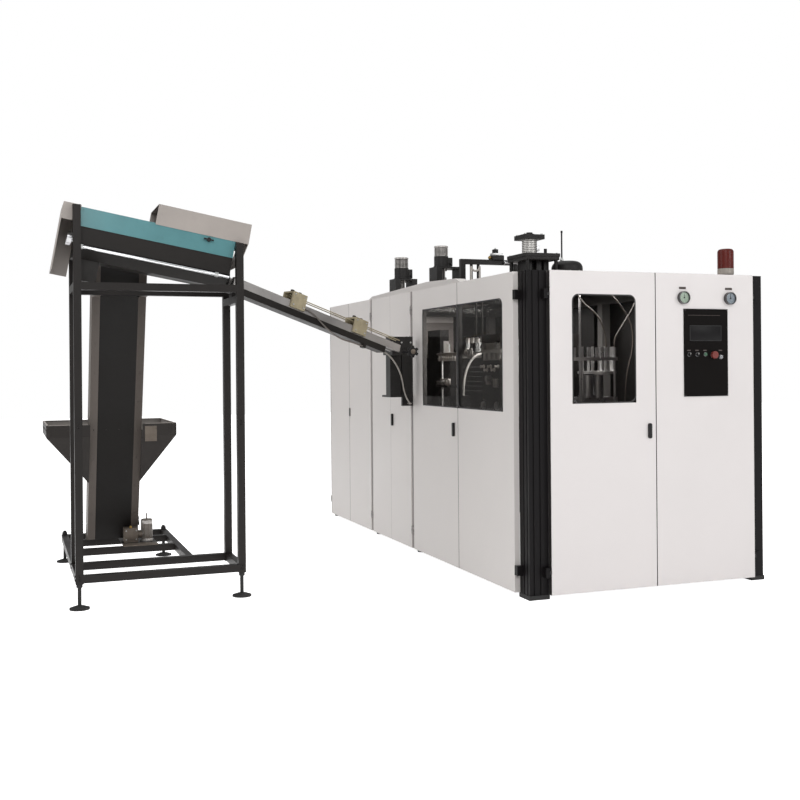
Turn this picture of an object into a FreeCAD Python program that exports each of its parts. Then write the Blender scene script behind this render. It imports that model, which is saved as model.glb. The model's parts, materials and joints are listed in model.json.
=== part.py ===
"""Linear stretch blow moulding machine with its preform feeder, as a parametric document.

Row frame in millimetres: the origin is on the floor under the middle of the front left corner post, +X runs
along the front with the control panel, +Y runs back along the long side, +Z is up.
"""
import FreeCAD, Part
import math
import os
import re

import Sketcher
from FreeCAD import Placement, Rotation, Vector

# ---------------------------------------------------------------------------------------------------------
# Driving dimensions, in millimetres and degrees
# ---------------------------------------------------------------------------------------------------------

SIZES = {
    # cabinet frame
    "cabinet_height": 2200,
    "floor_gap": 30,
    "corner_post": 140,
    "post_groove": 12,
    "groove_depth": 6,
    "groove_inset": 24,
    "right_post": 100,
    "front_width": 1890,
    "beam": 80,
    "beam_wall": 4,
    "seal_gap": 3,
    "deck_top": 1100,
    "deck_plate": 20,
    "pad_rim": 6,
    "first_mullion": 1995,
    "second_mullion": 3055,
    "third_mullion": 4405,
    "mullion_width": 44,
    "mullion_depth": 33,
    "roof_plate": 3,
    "duct_left": -50,
    "duct_width": 80,
    "duct_start": 1050,
    "duct_shoulder": 1190,
    "duct_shoulder_up": 47,
    "duct_crest": 1790,
    "duct_crest_up": 68,
    "duct_fall": 3190,
    "duct_fall_up": 38,
    "duct_end": 3340,
    "panel_sheet": 2,
    "panel_depth": 23,
    "rear_pan": 25,
    "outlet_width": 420,
    "outlet_height": 460,
    "outlet_left": 640,
    "pad_radius": 45,
    "pad_height": 12,
    "stem_radius": 12,
    # doors
    "door_depth": 40,
    "door_sheet": 2.5,
    "door_round": 2,
    "seam": 6,
    "tight_seam": 2,
    "front_seam": 896,
    "pair_seam": 1020,
    "close_seam": 2525,
    "rear_seam": 3740,
    "window_round": 50,
    "front_window_head": 156,
    "front_window_height": 740,
    "side_window_head": 167,
    "side_window_height": 787,
    "pane": 5,
    "pane_lap": 15,
    "front_window_left": 240,
    "front_window_right": 737,
    "side_window_near": 235,
    "side_window_far": 1740,
    # hinges
    "hinge_height": 65,
    "hinge_head": 190,
    "hinge_low": 150,
    "pin_radius": 3,
    "knuckle_radius": 5.5,
    "running": 0.05,
    "knuckle_gap": 0.5,
    "axis_inset": 2,
    "axis_offset": 6,
    "hinge_block": 31,
    # handles and control panel
    "lever_length": 105,
    "handle_drop": 144,
    "side_handle_drop": 113,
    "middle_handle_rise": 17,
    "lever_width": 24,
    "lever_depth": 17,
    "spindle_radius": 6,
    "rest_gap": 0.3,
    "front_handle_in": 56,
    "side_handle_in": 70,
    "middle_handle_in": 60,
    "lock_width": 24,
    "lock_depth": 8,
    "lock_height": 80,
    "lock_inset": 5,
    "console_left": 1125,
    "console_head": 247,
    "console_height": 615,
    "screen_head": 114,
    "screen_height": 113,
    "console_right": 1492,
    "console_plate": 6,
    "console_lip": 12,
    "console_box": 36,
    "screen_left": 1170,
    "screen_right": 1439,
    "screen_recess": 2,
    "estop_across": 1369,
    "estop_above": 291,
    "estop_radius": 26,
    "estop_stem": 10,
    "estop_travel": 5,
    "key_across": 1428,
    "key_above": 277,
    "key_radius": 13,
    "key_stem": 6,
    "start_across": 1298,
    "start_above": 296,
    "start_radius": 12,
    "start_stem": 7,
    "start_travel": 3,
    "gauge_left": 1120,
    "gauge_head": 170,
    "gauge_right": 1509,
    "gauge_radius": 44.5,
    "gauge_depth": 28,
    "gauge_rim": 5.5,
    "gauge_recess": 10,
    "needle_pin": 2,
    "needle_length": 32,
    "needle_thick": 1.5,
    # things on the roof
    "beacon_across": 1546,
    "beacon_collar_rise": 50,
    "beacon_height": 142,
    "beacon_in": -27,
    "beacon_foot": 38,
    "beacon_collar": 56,
    "beacon_clear": 8,
    "beacon_radius": 57,
    "beacon_shoulder": 22,
    "beacon_wall": 3,
    "stretch_across": 390,
    "stretch_rise": 200,
    "stretch_tube_height": 112,
    "stretch_in": 790,
    "stretch_block_left": 280,
    "stretch_block": 320,
    "stretch_plate_low": 25,
    "stretch_leg": 14,
    "stretch_leg_inset": 24,
    "stretch_block_length": 284,
    "stretch_tube": 55,
    "stretch_plate": 170,
    "stretch_plate_thick": 35,
    "rod_radius": 7,
    "rod_end_rise": 23,
    "rod_length": 755,
    "roof_hole": 20,
    "portal_left": 80,
    "portal_rise": 220,
    "portal_right": 600,
    "portal_in": 1390,
    "portal_tube": 40,
    "near_motor_across": 125,
    "near_motor_rise": 377,
    "near_stand_rise": 200,
    "near_motor_in": 1890,
    "far_motor_across": 140,
    "far_motor_rise": 380,
    "far_stand_rise": 180,
    "far_motor_in": 2890,
    "near_motor_radius": 60,
    "motor_crown": 0.88,
    "terminal_box": 60,
    "far_motor_radius": 66,
    "stand_left": 50,
    "stand_plate": 15,
    "stand_leg": 50,
    "stand_near_length": 260,
    "stand_far_length": 214,
    "stand_width": 170,
    "dome_across": 710,
    "dome_rise": 110,
    "dome_crown_rise": 50,
    "dome_in": 790,
    "dome_radius": 130,
    "dome_core": 119,
    "dome_rib": 10,
    "dome_pitch": 30,
    "dome_shoulder": 56,
    "mast_across": 665,
    "mast_rise": 393,
    "mast_radius": 6,
    "pipe_radius": 12,
    "side_pipe_rise": 50,
    "pipe_across": 178,
    "pipe_pitch": 60,
    "valve_left": 350,
    "valve_width": 100,
    "valve_depth": 80,
    "valve_height": 35,
    "side_pipe_across": 525,
    # blow station
    "press_bed": 40,
    "press_height": 700,
    "platen": 50,
    "platen_left": 60,
    "press_span": 660,
    "press_depth": 320,
    "side_rail_out": 30,
    "side_rail_near": 560,
    "side_rail_far": 900,
    "side_rail_rise": 560,
    "side_rail_tall": 25,
    "drop_radius": 10,
    "drop_height": 45,
    "arm_far": 1130,
    "arm_thick": 12,
    "press_pipe": 9,
    "near_pipe_in": 991,
    "far_pipe_in": 1104,
    "bar_radius": 20,
    "bar_low_rise": 130,
    "bar_head": 90,
    "bar_inset": 45,
    "carrier": 60,
    "carrier_rise": 90,
    "carrier_head": 40,
    "mould_thick": 120,
    "mould_rise": 180,
    "mould_depth": 240,
    "mould_height": 380,
    "mould_gap": 60,
    "cavity_radius": 34,
    "cavity_height": 240,
    "neck_radius": 14,
    "ram_radius": 24,
    "ram_length": 130,
    # preform transfer and oven
    "wheel_across": 750,
    "wheel_rise": 400,
    "wheel_in": 430,
    "wheel_radius": 140,
    "wheel_thick": 20,
    "wheel_clear": 7,
    "hub_radius": 15,
    "hub_length": 110,
    "column_radius": 46,
    "column_flange": 62,
    "flange_thick": 15,
    "pedestal_left": 580,
    "pedestal_height": 230,
    "pedestal_right": 860,
    "pedestal_near": 325,
    "pedestal_far": 535,
    "silver_across": 640,
    "silver_in": 390,
    "grip_circle": 122,
    "grip_radius": 11,
    "grip_height": 178,
    "silver_rod_across": 588,
    "silver_rod": 9,
    "manifold_left": 445,
    "manifold_right": 805,
    "manifold_in": 247,
    "manifold_rise": 496,
    "manifold_side": 30,
    "manifold_thick": 24,
    "fitting_radius": 12,
    "fitting_height": 70,
    "ceiling_left": 440,
    "ceiling_right": 990,
    "ceiling_near": 190,
    "ceiling_thick": 45,
    "hose_foot_across": 870,
    "hose_foot_height": 80,
    "chain_across": 650,
    "chain_rise": 545,
    "chain_radius": 250,
    "chain_start": 1500,
    "chain_end": 3880,
    "chain_bar": 40,
    "mandrel_radius": 11,
    "mandrel_height": 100,
    "mandrel_pitch": 230,
    "oven_start": 2300,
    "oven_height": 345,
    "oven_end": 3700,
    "oven_gap": 60,
    "bank_depth": 50,
    "bank_end": 10,
    "lamp_radius": 7,
    "lamp_pitch": 46,
    "oven_leg": 60,
    "blower_near": 2330,
    "blower_far": 2620,
    "blower_height": 245,
    # feeder frame
    "feeder_tube": 50,
    "feeder_wall": 3,
    "foot_plate": 6,
    "frame_left": -2910,
    "near_left_rise": 8,
    "near_right_drop": 210,
    "far_left_drop": 37,
    "far_right_drop": 257,
    "high_beam_drop": 497,
    "chute_beam_drop": 567,
    "saddle_height": 50,
    "frame_right": -1792,
    "frame_near": 795,
    "frame_far": 1320,
    "frame_rear": 2690,
    "bay_right": -2070,
    "base_low": 170,
    "sill_one": 1890,
    "sill_two": 2340,
    "foot_pad": 65,
    "foot_pad_height": 22,
    "foot_stem": 12.5,
    "foot_nut": 20,
    "foot_nut_height": 22,
    # hopper
    "hopper_left": -3050,
    "hopper_right": -2110,
    "hopper_near": 1790,
    "hopper_far": 2640,
    "hopper_top": 1150,
    "hopper_lip": 1060,
    "hopper_low": 700,
    "hopper_wall": 3,
    "hopper_bottom_near": 1986,
    "hopper_bottom_far": 2300,
    "hopper_clear": 5,
    # elevator
    "elevator_middle": -2552,
    "elevator_width": 380,
    "elevator_side": 60,
    "elevator_depth": 200,
    "elevator_near": 2140,
    "elevator_floor": 300,
    "elevator_tilt": 19.8,
    "elevator_below": 60,
    "elevator_length": 2410,
    "head_room": 70,
    "foot_roller_up": 30,
    "roller_radius": 50,
    "roller_shaft": 10,
    "roller_side": 4,
    "belt_gap": 0.3,
    "side_wall": 4,
    "belt_thick": 5,
    "belt_side": 10,
    "cleat_height": 28,
    "cleat_thick": 6,
    "belly_sheet": 3,
    "drive_plate_left": -2500,
    "drive_plate_right": -2240,
    "drive_plate": 6,
    "drive_plate_far": 2305,
    "gearbox_left": -2480,
    "gearbox": 105,
    "gearbox_near": 2010,
    "gearbox_depth": 100,
    "gearbox_height": 109,
    "foot_motor_across": -2305,
    "foot_motor_in": 2060,
    "foot_motor_radius": 42,
    "foot_motor_height": 169,
    "lift_rod": 5,
    "lift_rod_height": 45,
    "sprocket_out": 5,
    "sprocket_radius": 35,
    "sprocket_thick": 12,
    # unscrambler
    "trough_left": -2852,
    "trough_near": 845,
    "trough_top": 2627,
    "trough_tilt": 10.4,
    "teal_sheet": 3,
    "trough_length": 1034,
    "trough_side": 240,
    "trough_deep": 325,
    "trough_floor": 180,
    "trough_wall": 4,
    "teal_height": 125,
    "trough_width": 425,
    "guide_radius": 10,
    "guide_down": 259,
    "guide_out": 13,
    "sort_radius": 45,
    "sort_gap": 34,
    "sort_down": 195,
    "sort_shaft": 10,
    "end_low": 160,
    "cover_out": 113,
    "cover_up": 12,
    "cover_down": 434,
    "cover_flange": 100,
    "cover_sheet": 2,
    "hood_start": 485,
    "hood_end": 1125,
    "hood_up": 130,
    "hood_flap": 170,
    "hood_in": 35,
    "hood_sheet": 3,
    "hood_lap": 10,
    "drive_left": 60,
    "drive_right": 180,
    "drive_width": 150,
    "drive_height": 140,
    "pulley_radius": 40,
    "pulley_thick": 30,
    "pulley_out": 20,
    "knob_along": 850,
    "knob_down": 36,
    "knob_radius": 14,
    "knob_wing": 34,
    "knob_thick": 9,
    "knob_shaft": 5,
    "knob_out": 22,
    # chute
    "chute_across": -1690,
    "chute_in": 1065,
    "chute_up": 2153,
    "chute_turn": 22.8,
    "chute_slope": 16.36,
    "chute_before": 165,
    "chute_length": 1480,
    "rail_height": 57,
    "rail_width": 32,
    "rail_gap": 30,
    "rail_sheet": 3,
    "channel_height": 49,
    "channel_short": 150,
    "clamp_one": 340,
    "clamp_two": 960,
    "clamp_length": 130,
    "clamp_above": 70,
    "clamp_below": 48,
    "clamp_side": 16,
    "clamp_roof": 12,
    "wire_radius": 4,
    "wire_up": 40,
    "wire_side": 22,
    "gland_at": 1085,
    "gland_length": 30,
    "gland_width": 20,
    "gland_height": 30,
    # infeed unit
    "infeed_left": -370,
    "infeed_right": -172,
    "infeed_near": 1800,
    "infeed_depth": 110,
    "infeed_low": 1330,
    "infeed_high": 1812,
    "infeed_cap": 1715,
    "infeed_flange": 16,
    "fin_depth": 6,
    "fin_pitch": 24,
    "fin_width": 8,
    "column_gap": 8,
    "arm_width": 28,
    "arm_low": 1235,
    "shelf_left": -430,
    "shelf_right": -345,
    "shelf_near": 1585,
    "shelf_top": 1700,
    "shelf_low": 1660,
    "star_across": -262,
    "star_up": 1685,
    "star_near": 1560,
    "star_radius": 48,
    "star_thick": 16,
    "star_shaft": 8,
    "star_pocket": 14,
    # hoses
    "hose_radius": 6,
    "inner_hose_radius": 9,
    "thin_hose_radius": 5,
    "hose_post_in": 1370,
    "hose_post_height": 230,
    "hose_post_width": 60,
    "hose_block_left": 330,
    "hose_block_length": 80,
    "hose_block_side": 50,
}

# Sizes that follow from others
LINKED = {
    "front_window_high": "cabinet_height - front_window_head",
    "front_window_low": "front_window_high - front_window_height",
    "side_window_high": "cabinet_height - side_window_head",
    "side_window_low": "side_window_high - side_window_height",
    "hinge_high": "cabinet_height - hinge_head",
    "front_handle_top": "front_window_low - handle_drop",
    "side_handle_top": "side_window_low - side_handle_drop",
    "middle_handle_top": "side_handle_top + middle_handle_rise",
    "lock_top": "front_window_low - handle_drop",
    "console_high": "cabinet_height - console_head",
    "console_low": "console_high - console_height",
    "screen_high": "console_high - screen_head",
    "screen_low": "screen_high - screen_height",
    "estop_up": "console_low + estop_above",
    "key_up": "console_low + key_above",
    "start_up": "console_low + start_above",
    "gauge_up": "cabinet_height - gauge_head",
    "beacon_collar_top": "cabinet_height + beacon_collar_rise",
    "beacon_top": "beacon_collar_top + beacon_height",
    "stretch_block_top": "cabinet_height + stretch_rise",
    "stretch_tube_top": "stretch_block_top + stretch_tube_height",
    "rod_high": "stretch_tube_top + rod_end_rise",
    "rod_low": "rod_high - rod_length",
    "side_pipe_top": "stretch_block_top + side_pipe_rise",
    "portal_top": "cabinet_height + portal_rise",
    "near_motor_top": "cabinet_height + near_motor_rise",
    "far_motor_top": "cabinet_height + far_motor_rise",
    "stand_near_top": "cabinet_height + near_stand_rise",
    "stand_far_top": "cabinet_height + far_stand_rise",
    "dome_cap": "cabinet_height + dome_rise",
    "dome_top": "dome_cap + dome_crown_rise",
    "mast_top": "cabinet_height + mast_rise",
    "press_high": "deck_top + press_height",
    "bar_low": "deck_top + bar_low_rise",
    "bar_high": "press_high - bar_head",
    "mould_low": "deck_top + mould_rise",
    "carrier_low": "deck_top + carrier_rise",
    "carrier_high": "press_high - carrier_head",
    "wheel_low": "deck_top + wheel_rise",
    "pedestal_top": "deck_top + pedestal_height",
    "chain_low": "deck_top + chain_rise",
    "oven_high": "chain_low",
    "oven_low": "chain_low - oven_height",
    "hose_post_top": "deck_top + hose_post_height",
    "head_roller_up": "elevator_length - head_room",
    "cleat_pitch": "(head_roller_up - foot_roller_up) / 10",
    "near_left_top": "trough_top + near_left_rise",
    "near_right_top": "trough_top - near_right_drop",
    "far_left_top": "trough_top - far_left_drop",
    "far_right_top": "trough_top - far_right_drop",
    "high_beam_top": "trough_top - high_beam_drop",
    "chute_beam_top": "trough_top - chute_beam_drop",
    "saddle_top": "chute_beam_top + saddle_height",
}

doc = FreeCAD.newDocument("blow_moulding_machine")
sheet = doc.addObject("Spreadsheet::Sheet", "Sizes")
cells = {alias: str(value) for alias, value in SIZES.items()}
cells.update({alias: "=" + formula for alias, formula in LINKED.items()})
for line, (alias, text) in enumerate(cells.items(), start=1):
    sheet.set("A%d" % line, alias)
    sheet.set("B%d" % line, text)
    sheet.setAlias("B%d" % line, alias)
    sheet.recompute()
doc.recompute()

ALONG = {
    "X": Rotation(Vector(0, 1, 0), 90),
    "Y": Rotation(Vector(1, 0, 0), -90),
    "Z": Rotation(),
}
sub_parts = []


# ---------------------------------------------------------------------------------------------------------
# Small modelling helpers
# ---------------------------------------------------------------------------------------------------------

def size(alias):
    """The value of one cell of the sheet."""
    return float(sheet.get(alias))


def bind(feature, prop, text):
    """Ties a property to a formula of sheet sizes."""
    formula = re.sub(r"[a-z_]+", lambda m: "Sizes." + m.group(0) if m.group(0) in cells else m.group(0), text)
    feature.setExpression(prop, formula)


def place(feature, x="0", y="0", z="0"):
    """Ties the place of a feature to formulas."""
    for axis, text in zip("xyz", (x, y, z)):
        bind(feature, "Placement.Base." + axis, text)
    return feature


def box(name, x, y, z, dx, dy, dz):
    """A block from its low corner and its three lengths."""
    block = doc.addObject("Part::Box", name)
    bind(block, "Length", dx)
    bind(block, "Width", dy)
    bind(block, "Height", dz)
    return place(block, x, y, z)


def span(name, x, y, z):
    """A block between two formulas on each axis."""
    lengths = ["(%s) - (%s)" % (high, low) for low, high in (x, y, z)]
    return box(name, x[0], y[0], z[0], *lengths)


def rod(name, x, y, z, radius, length, axis="Z"):
    """A round bar that starts at a point and runs along an axis."""
    bar = doc.addObject("Part::Cylinder", name)
    bar.Placement = Placement(Vector(), ALONG[axis])
    bind(bar, "Radius", radius)
    bind(bar, "Height", length)
    return place(bar, x, y, z)


def cone(name, x, y, z, low_radius, high_radius, height, axis="Z"):
    """A tapered round piece that starts at a point and runs along an axis."""
    piece = doc.addObject("Part::Cone", name)
    piece.Placement = Placement(Vector(), ALONG[axis])
    bind(piece, "Radius1", low_radius)
    bind(piece, "Radius2", high_radius)
    bind(piece, "Height", height)
    return place(piece, x, y, z)


def fuse(name, parts):
    """Several features as one solid."""
    joined = doc.addObject("Part::MultiFuse", name)
    joined.Shapes = parts
    joined.Refine = True
    return joined


def cut(name, base, *tools):
    """A feature less one or more tools."""
    result = doc.addObject("Part::Cut", name)
    result.Base = base
    result.Tool = tools[0] if len(tools) == 1 else fuse(name + "_tools", list(tools))
    result.Refine = True
    return result


def group(name, parts):
    """Separate solids kept together."""
    together = doc.addObject("Part::Compound", name)
    together.Links = parts
    return together


def turned(name, parts, axis, degrees, x, y, z):
    """A group that is turned about an axis and set at a point."""
    together = group(name, parts)
    together.Placement = Placement(Vector(), Rotation(axis, 1))
    bind(together, "Placement.Rotation.Angle", degrees)
    return place(together, x, y, z)


def rounded(name, block, radius, choose):
    """A block with some of its edges rounded."""
    doc.recompute([block, sheet])
    picked = [n for n, edge in enumerate(block.Shape.Edges, start=1) if choose(edge)]
    piece = doc.addObject("Part::Fillet", name)
    piece.Base = block
    piece.Edges = [(n, radius, radius) for n in picked]
    return piece


def outline(name, plane, points, length):
    """A body padded from a closed outline whose corners are formulas."""
    body = doc.addObject("PartDesign::Body", name)
    sketch = body.newObject("Sketcher::SketchObject", name + "_sketch")
    origin_plane = [item for item in body.Origin.OriginFeatures if item.Role == plane][0]
    sketch.AttachmentSupport = [(origin_plane, "")]
    sketch.MapMode = "FlatFace"
    count = len(points)
    steps = [2 * math.pi * n / count for n in range(count)]
    corners = [Vector(math.cos(step), math.sin(step), 0) for step in steps]
    for n in range(count):
        sketch.addGeometry(Part.LineSegment(corners[n], corners[(n + 1) % count]))
    for n in range(count):
        sketch.addConstraint(Sketcher.Constraint("Coincident", n, 2, (n + 1) % count, 1))
    for n, (u, v) in enumerate(points):
        across = sketch.addConstraint(Sketcher.Constraint("DistanceX", -1, 1, n, 1, corners[n].x))
        bind(sketch, "Constraints[%d]" % across, u)
        up = sketch.addConstraint(Sketcher.Constraint("DistanceY", -1, 1, n, 1, corners[n].y))
        bind(sketch, "Constraints[%d]" % up, v)
    pad = body.newObject("PartDesign::Pad", name + "_pad")
    pad.Profile = sketch
    bind(pad, "Length", length)
    return body


def tube(name, axis, low, length, side="beam", wall="beam_wall", capped=False):
    """A square tube along an axis from its low corner; a capped one is closed at its far end."""
    outer = {a: side for a in "XYZ"}
    outer[axis] = length
    inner = {a: "%s - 2 * %s" % (side, wall) for a in "XYZ"}
    inner[axis] = "(%s) + 1 - %s" % (length, wall) if capped else "(%s) + 2" % length
    start = {a: "(%s) + %s" % (text, wall) for a, text in zip("XYZ", low)}
    start[axis] = "(%s) - 1" % low["XYZ".index(axis)]
    block = box(name + "_outside", *low, outer["X"], outer["Y"], outer["Z"])
    hollow = box(name + "_inside", start["X"], start["Y"], start["Z"], inner["X"], inner["Y"], inner["Z"])
    return cut(name, block, hollow)


def node(name, *parts):
    """Names a finished sub-part that one STEP file is written from."""
    piece = parts[0] if len(parts) == 1 else group(name + "_set", list(parts))
    piece.Label = name
    sub_parts.append(piece)
    return piece


# ---------------------------------------------------------------------------------------------------------
# Planes that several pieces share
# ---------------------------------------------------------------------------------------------------------

POST = "corner_post / 2"
FACE = "(-corner_post / 2)"
OUTER = "(-corner_post / 2 - door_depth)"
AXIS = "(-corner_post / 2 - door_depth + axis_inset)"
RIGHT = "(front_width - corner_post / 2)"
RIGHT_POST = "(front_width - corner_post / 2 - right_post)"
FRAME = "(seal_gap - corner_post / 2)"
FRAME_IN = "(seal_gap - corner_post / 2 + beam)"
RIGHT_OUT = "(front_width - corner_post / 2 - panel_depth)"
RIGHT_IN = "(front_width - corner_post / 2 - panel_depth - beam)"
ROOF = "(cabinet_height - 5)"
ROOF_TOP = "(cabinet_height - 5 + roof_plate)"
REAR = "(third_mullion + 25)"
REAR_IN = "(third_mullion + 25 - beam)"
DECK = "deck_top"
DECK_LOW = "(deck_top - deck_plate)"

# ---------------------------------------------------------------------------------------------------------
# Hinges: the axis is at the origin, the door lies towards +Y and the outside is towards -X
# ---------------------------------------------------------------------------------------------------------

HALF = "hinge_height / 2"
THIRD = "hinge_height / 6"


def fixed_half(name, length, depth):
    """Pin, two knuckles and the block that holds them."""
    block = span(name + "_block", ("-pin_radius - 1", depth),
                 ("-(%s)" % length, "-axis_offset - knuckle_gap"),
                 ("-" + HALF, HALF))
    parts = [block, rod(name + "_pin", "0", "0", "-" + HALF, "pin_radius", "hinge_height")]
    for level, low in (("low", "-" + HALF), ("high", THIRD + " + knuckle_gap / 2")):
        tall = "hinge_height / 3 - knuckle_gap / 2"
        parts.append(rod(name + "_knuckle_" + level, "0", "0", low, "knuckle_radius", tall))
        parts.append(box(name + "_bridge_" + level, "-axis_inset", "-axis_offset - 1", low,
                         "knuckle_radius + axis_inset", "axis_offset + 1", tall))
    return fuse(name, parts)


def moving_half():
    """The middle knuckle and the tab that joins it to a door."""
    low = "-%s + knuckle_gap / 2" % THIRD
    tall = "hinge_height / 3 - knuckle_gap"
    knuckle = rod("moving_knuckle", "0", "0", low, "knuckle_radius", tall)
    tab = span("moving_tab", ("-pin_radius", "pin_radius + 1"), ("0", "axis_offset + 1"),
               (low, "%s - knuckle_gap / 2" % THIRD))
    bore = rod("moving_bore", "0", "0", "-" + HALF, "pin_radius + running", "hinge_height")
    return cut("moving_half", fuse("moving_solid", [knuckle, tab]), bore)


POST_HINGE = fixed_half("post_hinge", "hinge_block + axis_offset", "door_depth - axis_inset")
MULLION_HINGE = fixed_half("mullion_hinge", "mullion_width / 2",
                           "door_depth - axis_inset + seal_gap - mullion_depth")
MOVING_HINGE = moving_half()

NEAR_EDGE = Rotation()
FAR_EDGE = Rotation(Vector(1, 0, 0), 180)
FRONT_LEFT_EDGE = Rotation(Vector(1, 1, 0), 180)
FRONT_RIGHT_EDGE = Rotation(Vector(0, 0, 1), 90)


def hinges(name, master, turn, x, y):
    """A low and a high copy of one hinge half on the same axis."""
    copies = []
    for level in ("low", "high"):
        copy = group("%s_%s" % (name, level), [master])
        copy.Placement = Placement(Vector(), turn)
        copies.append(place(copy, x, y, "hinge_%s + %s" % (level, HALF)))
    return copies


LEFT_FRONT_AXIS = ("corner_post / 2 + seal_gap - axis_offset", AXIS)
RIGHT_FRONT_AXIS = (RIGHT_POST + " - seal_gap + axis_offset", AXIS)
SIDE_AXES = {
    1: (AXIS, "corner_post / 2 + seal_gap - axis_offset"),
    2: (AXIS, "first_mullion - mullion_width / 2"),
    3: (AXIS, "first_mullion + mullion_width / 2"),
    4: (AXIS, "second_mullion - mullion_width / 2"),
    5: (AXIS, "second_mullion + mullion_width / 2"),
    6: (AXIS, "third_mullion - mullion_width / 2"),
}

# ---------------------------------------------------------------------------------------------------------
# Cabinet: posts, mullions, frame, deck, roof and fixed panels
# ---------------------------------------------------------------------------------------------------------

left_post = span("left_post", (FACE, POST), (FACE, POST), ("floor_gap", "cabinet_height"))
grooves = []
for order, inset in enumerate(("groove_inset", "2 * groove_inset + 2 * post_groove")):
    run = ("%s + %s" % (FACE, inset), "%s + %s + post_groove" % (FACE, inset))
    deep = (FACE + " - 1", FACE + " + groove_depth")
    tall = ("floor_gap - 1", "cabinet_height + 1")
    grooves.append(span("side_groove_%d" % order, deep, run, tall))
    grooves.append(span("front_groove_%d" % order, run, deep, tall))
right_post = box("right_post_bar", RIGHT_POST, FACE, "floor_gap", "right_post", "right_post",
                 "cabinet_height - floor_gap")
node("front_posts",
     fuse("left_post_hinged", [cut("left_post_grooved", left_post, *grooves)]
          + hinges("door_one_post", POST_HINGE, NEAR_EDGE, *SIDE_AXES[1])
          + hinges("front_left_post", POST_HINGE, FRONT_LEFT_EDGE, *LEFT_FRONT_AXIS)),
     fuse("right_post_hinged", [right_post]
          + hinges("front_right_post", POST_HINGE, FRONT_RIGHT_EDGE, *RIGHT_FRONT_AXIS)))

mullions = []
for name, left_door, right_door in (("first", 2, 3), ("second", 4, 5), ("third", 6, None)):
    strip = box(name + "_strip", FRAME + " - mullion_depth", name + "_mullion - mullion_width / 2",
                "floor_gap",
                "mullion_depth", "mullion_width", "cabinet_height - floor_gap")
    parts = [strip] + hinges(name + "_left", MULLION_HINGE, FAR_EDGE, *SIDE_AXES[left_door])
    if right_door:
        parts += hinges(name + "_right", MULLION_HINGE, NEAR_EDGE, *SIDE_AXES[right_door])
    mullions.append(fuse(name + "_mullion_hinged", parts))
node("side_mullions", *mullions)

TOP_BEAM = ROOF + " - beam"
CROSS = DECK_LOW + " - beam"
members = []
for level, low in (("base", "floor_gap"), ("top", TOP_BEAM)):
    members += [
        tube("left_%s_beam" % level, "Y", (FRAME, POST, low), "%s - %s" % (REAR, POST)),
        tube("right_%s_beam" % level, "Y", (RIGHT_IN, FACE + " + right_post", low),
             "%s - %s - right_post" % (REAR, FACE)),
        tube("front_%s_beam" % level, "X", (POST, FRAME, low), "%s - %s" % (RIGHT_POST, POST)),
        tube("rear_%s_beam" % level, "X", (FRAME_IN, REAR_IN, low), "%s - %s" % (RIGHT_IN, FRAME_IN)),
    ]
POST_LOW = "floor_gap + beam"
POST_TALL = "%s - 2 * beam - floor_gap" % ROOF
for name, middle in (("first", "first_mullion - beam / 2"), ("second", "second_mullion - beam / 2"),
                     ("rear", REAR_IN)):
    members.append(tube("left_%s_post" % name, "Z", (FRAME, middle, POST_LOW), POST_TALL))
    members.append(tube("right_%s_post" % name, "Z", (RIGHT_IN, middle, POST_LOW), POST_TALL))
    members.append(tube("%s_cross_beam" % name, "X", (FRAME_IN, middle, CROSS),
                        "%s - %s" % (RIGHT_IN, FRAME_IN)))
members.append(tube("front_cross_beam", "X", (POST, FRAME, CROSS), "%s - %s" % (RIGHT_POST, POST)))
node("cabinet_frame", *members)

deck = span("deck", (POST + " + 5", RIGHT_IN + " - 3"), (FACE + " + 10", REAR + " - 5"), (DECK_LOW, DECK))
hose_post = box("hose_post", POST + " + 5", "hose_post_in", DECK + " - 1", "hose_post_width",
                "hose_post_width",
                "hose_post_top - deck_top + 1")
node("machine_deck", fuse("deck_body", [deck, hose_post]))

roof_sheet = span("roof_sheet", (FRAME, RIGHT), (FRAME, REAR + " + rear_pan"), (ROOF, ROOF_TOP))
left_corner = span("roof_left_corner", (FACE + " - 1", POST + " + 1"), (FACE + " - 1", POST + " + 1"),
                   (ROOF + " - 1", "cabinet_height"))
right_corner = span("roof_right_corner", (RIGHT_POST + " - 1", RIGHT + " + 1"),
                    (FACE + " - 1", FACE + " + right_post + 1"), (ROOF + " - 1", "cabinet_height"))
rod_hole = rod("roof_rod_hole", "stretch_across", "stretch_in", ROOF + " - 1", "roof_hole", "roof_plate + 2")
duct = outline("roof_duct", "YZ_Plane",
               [("duct_start", ROOF_TOP), ("duct_end", ROOF_TOP), ("duct_fall", ROOF_TOP + " + duct_fall_up"),
                ("duct_crest", ROOF_TOP + " + duct_crest_up"),
                ("duct_shoulder", ROOF_TOP + " + duct_shoulder_up")], "duct_width")
node("roof_panels", cut("roof_plate_cut", roof_sheet, left_corner, right_corner, rod_hole),
     place(group("duct_set", [duct]), "duct_left"))


def pan(name, x, y, z, open_side, wall):
    """A folded sheet pan that is open towards one side."""
    limits = {"x": list(x), "y": list(y), "z": list(z)}
    outside = span(name + "_outside", x, y, z)
    for axis, (low, high) in limits.items():
        limits[axis] = ["%s + %s" % (low, wall), "%s - %s" % (high, wall)]
    axis, end = open_side
    limits[axis][0 if end == "-" else 1] = {"x": x, "y": y, "z": z}[axis][0 if end == "-" else 1] + end + "1"
    return outside, span(name + "_inside", tuple(limits["x"]), tuple(limits["y"]), tuple(limits["z"]))


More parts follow.
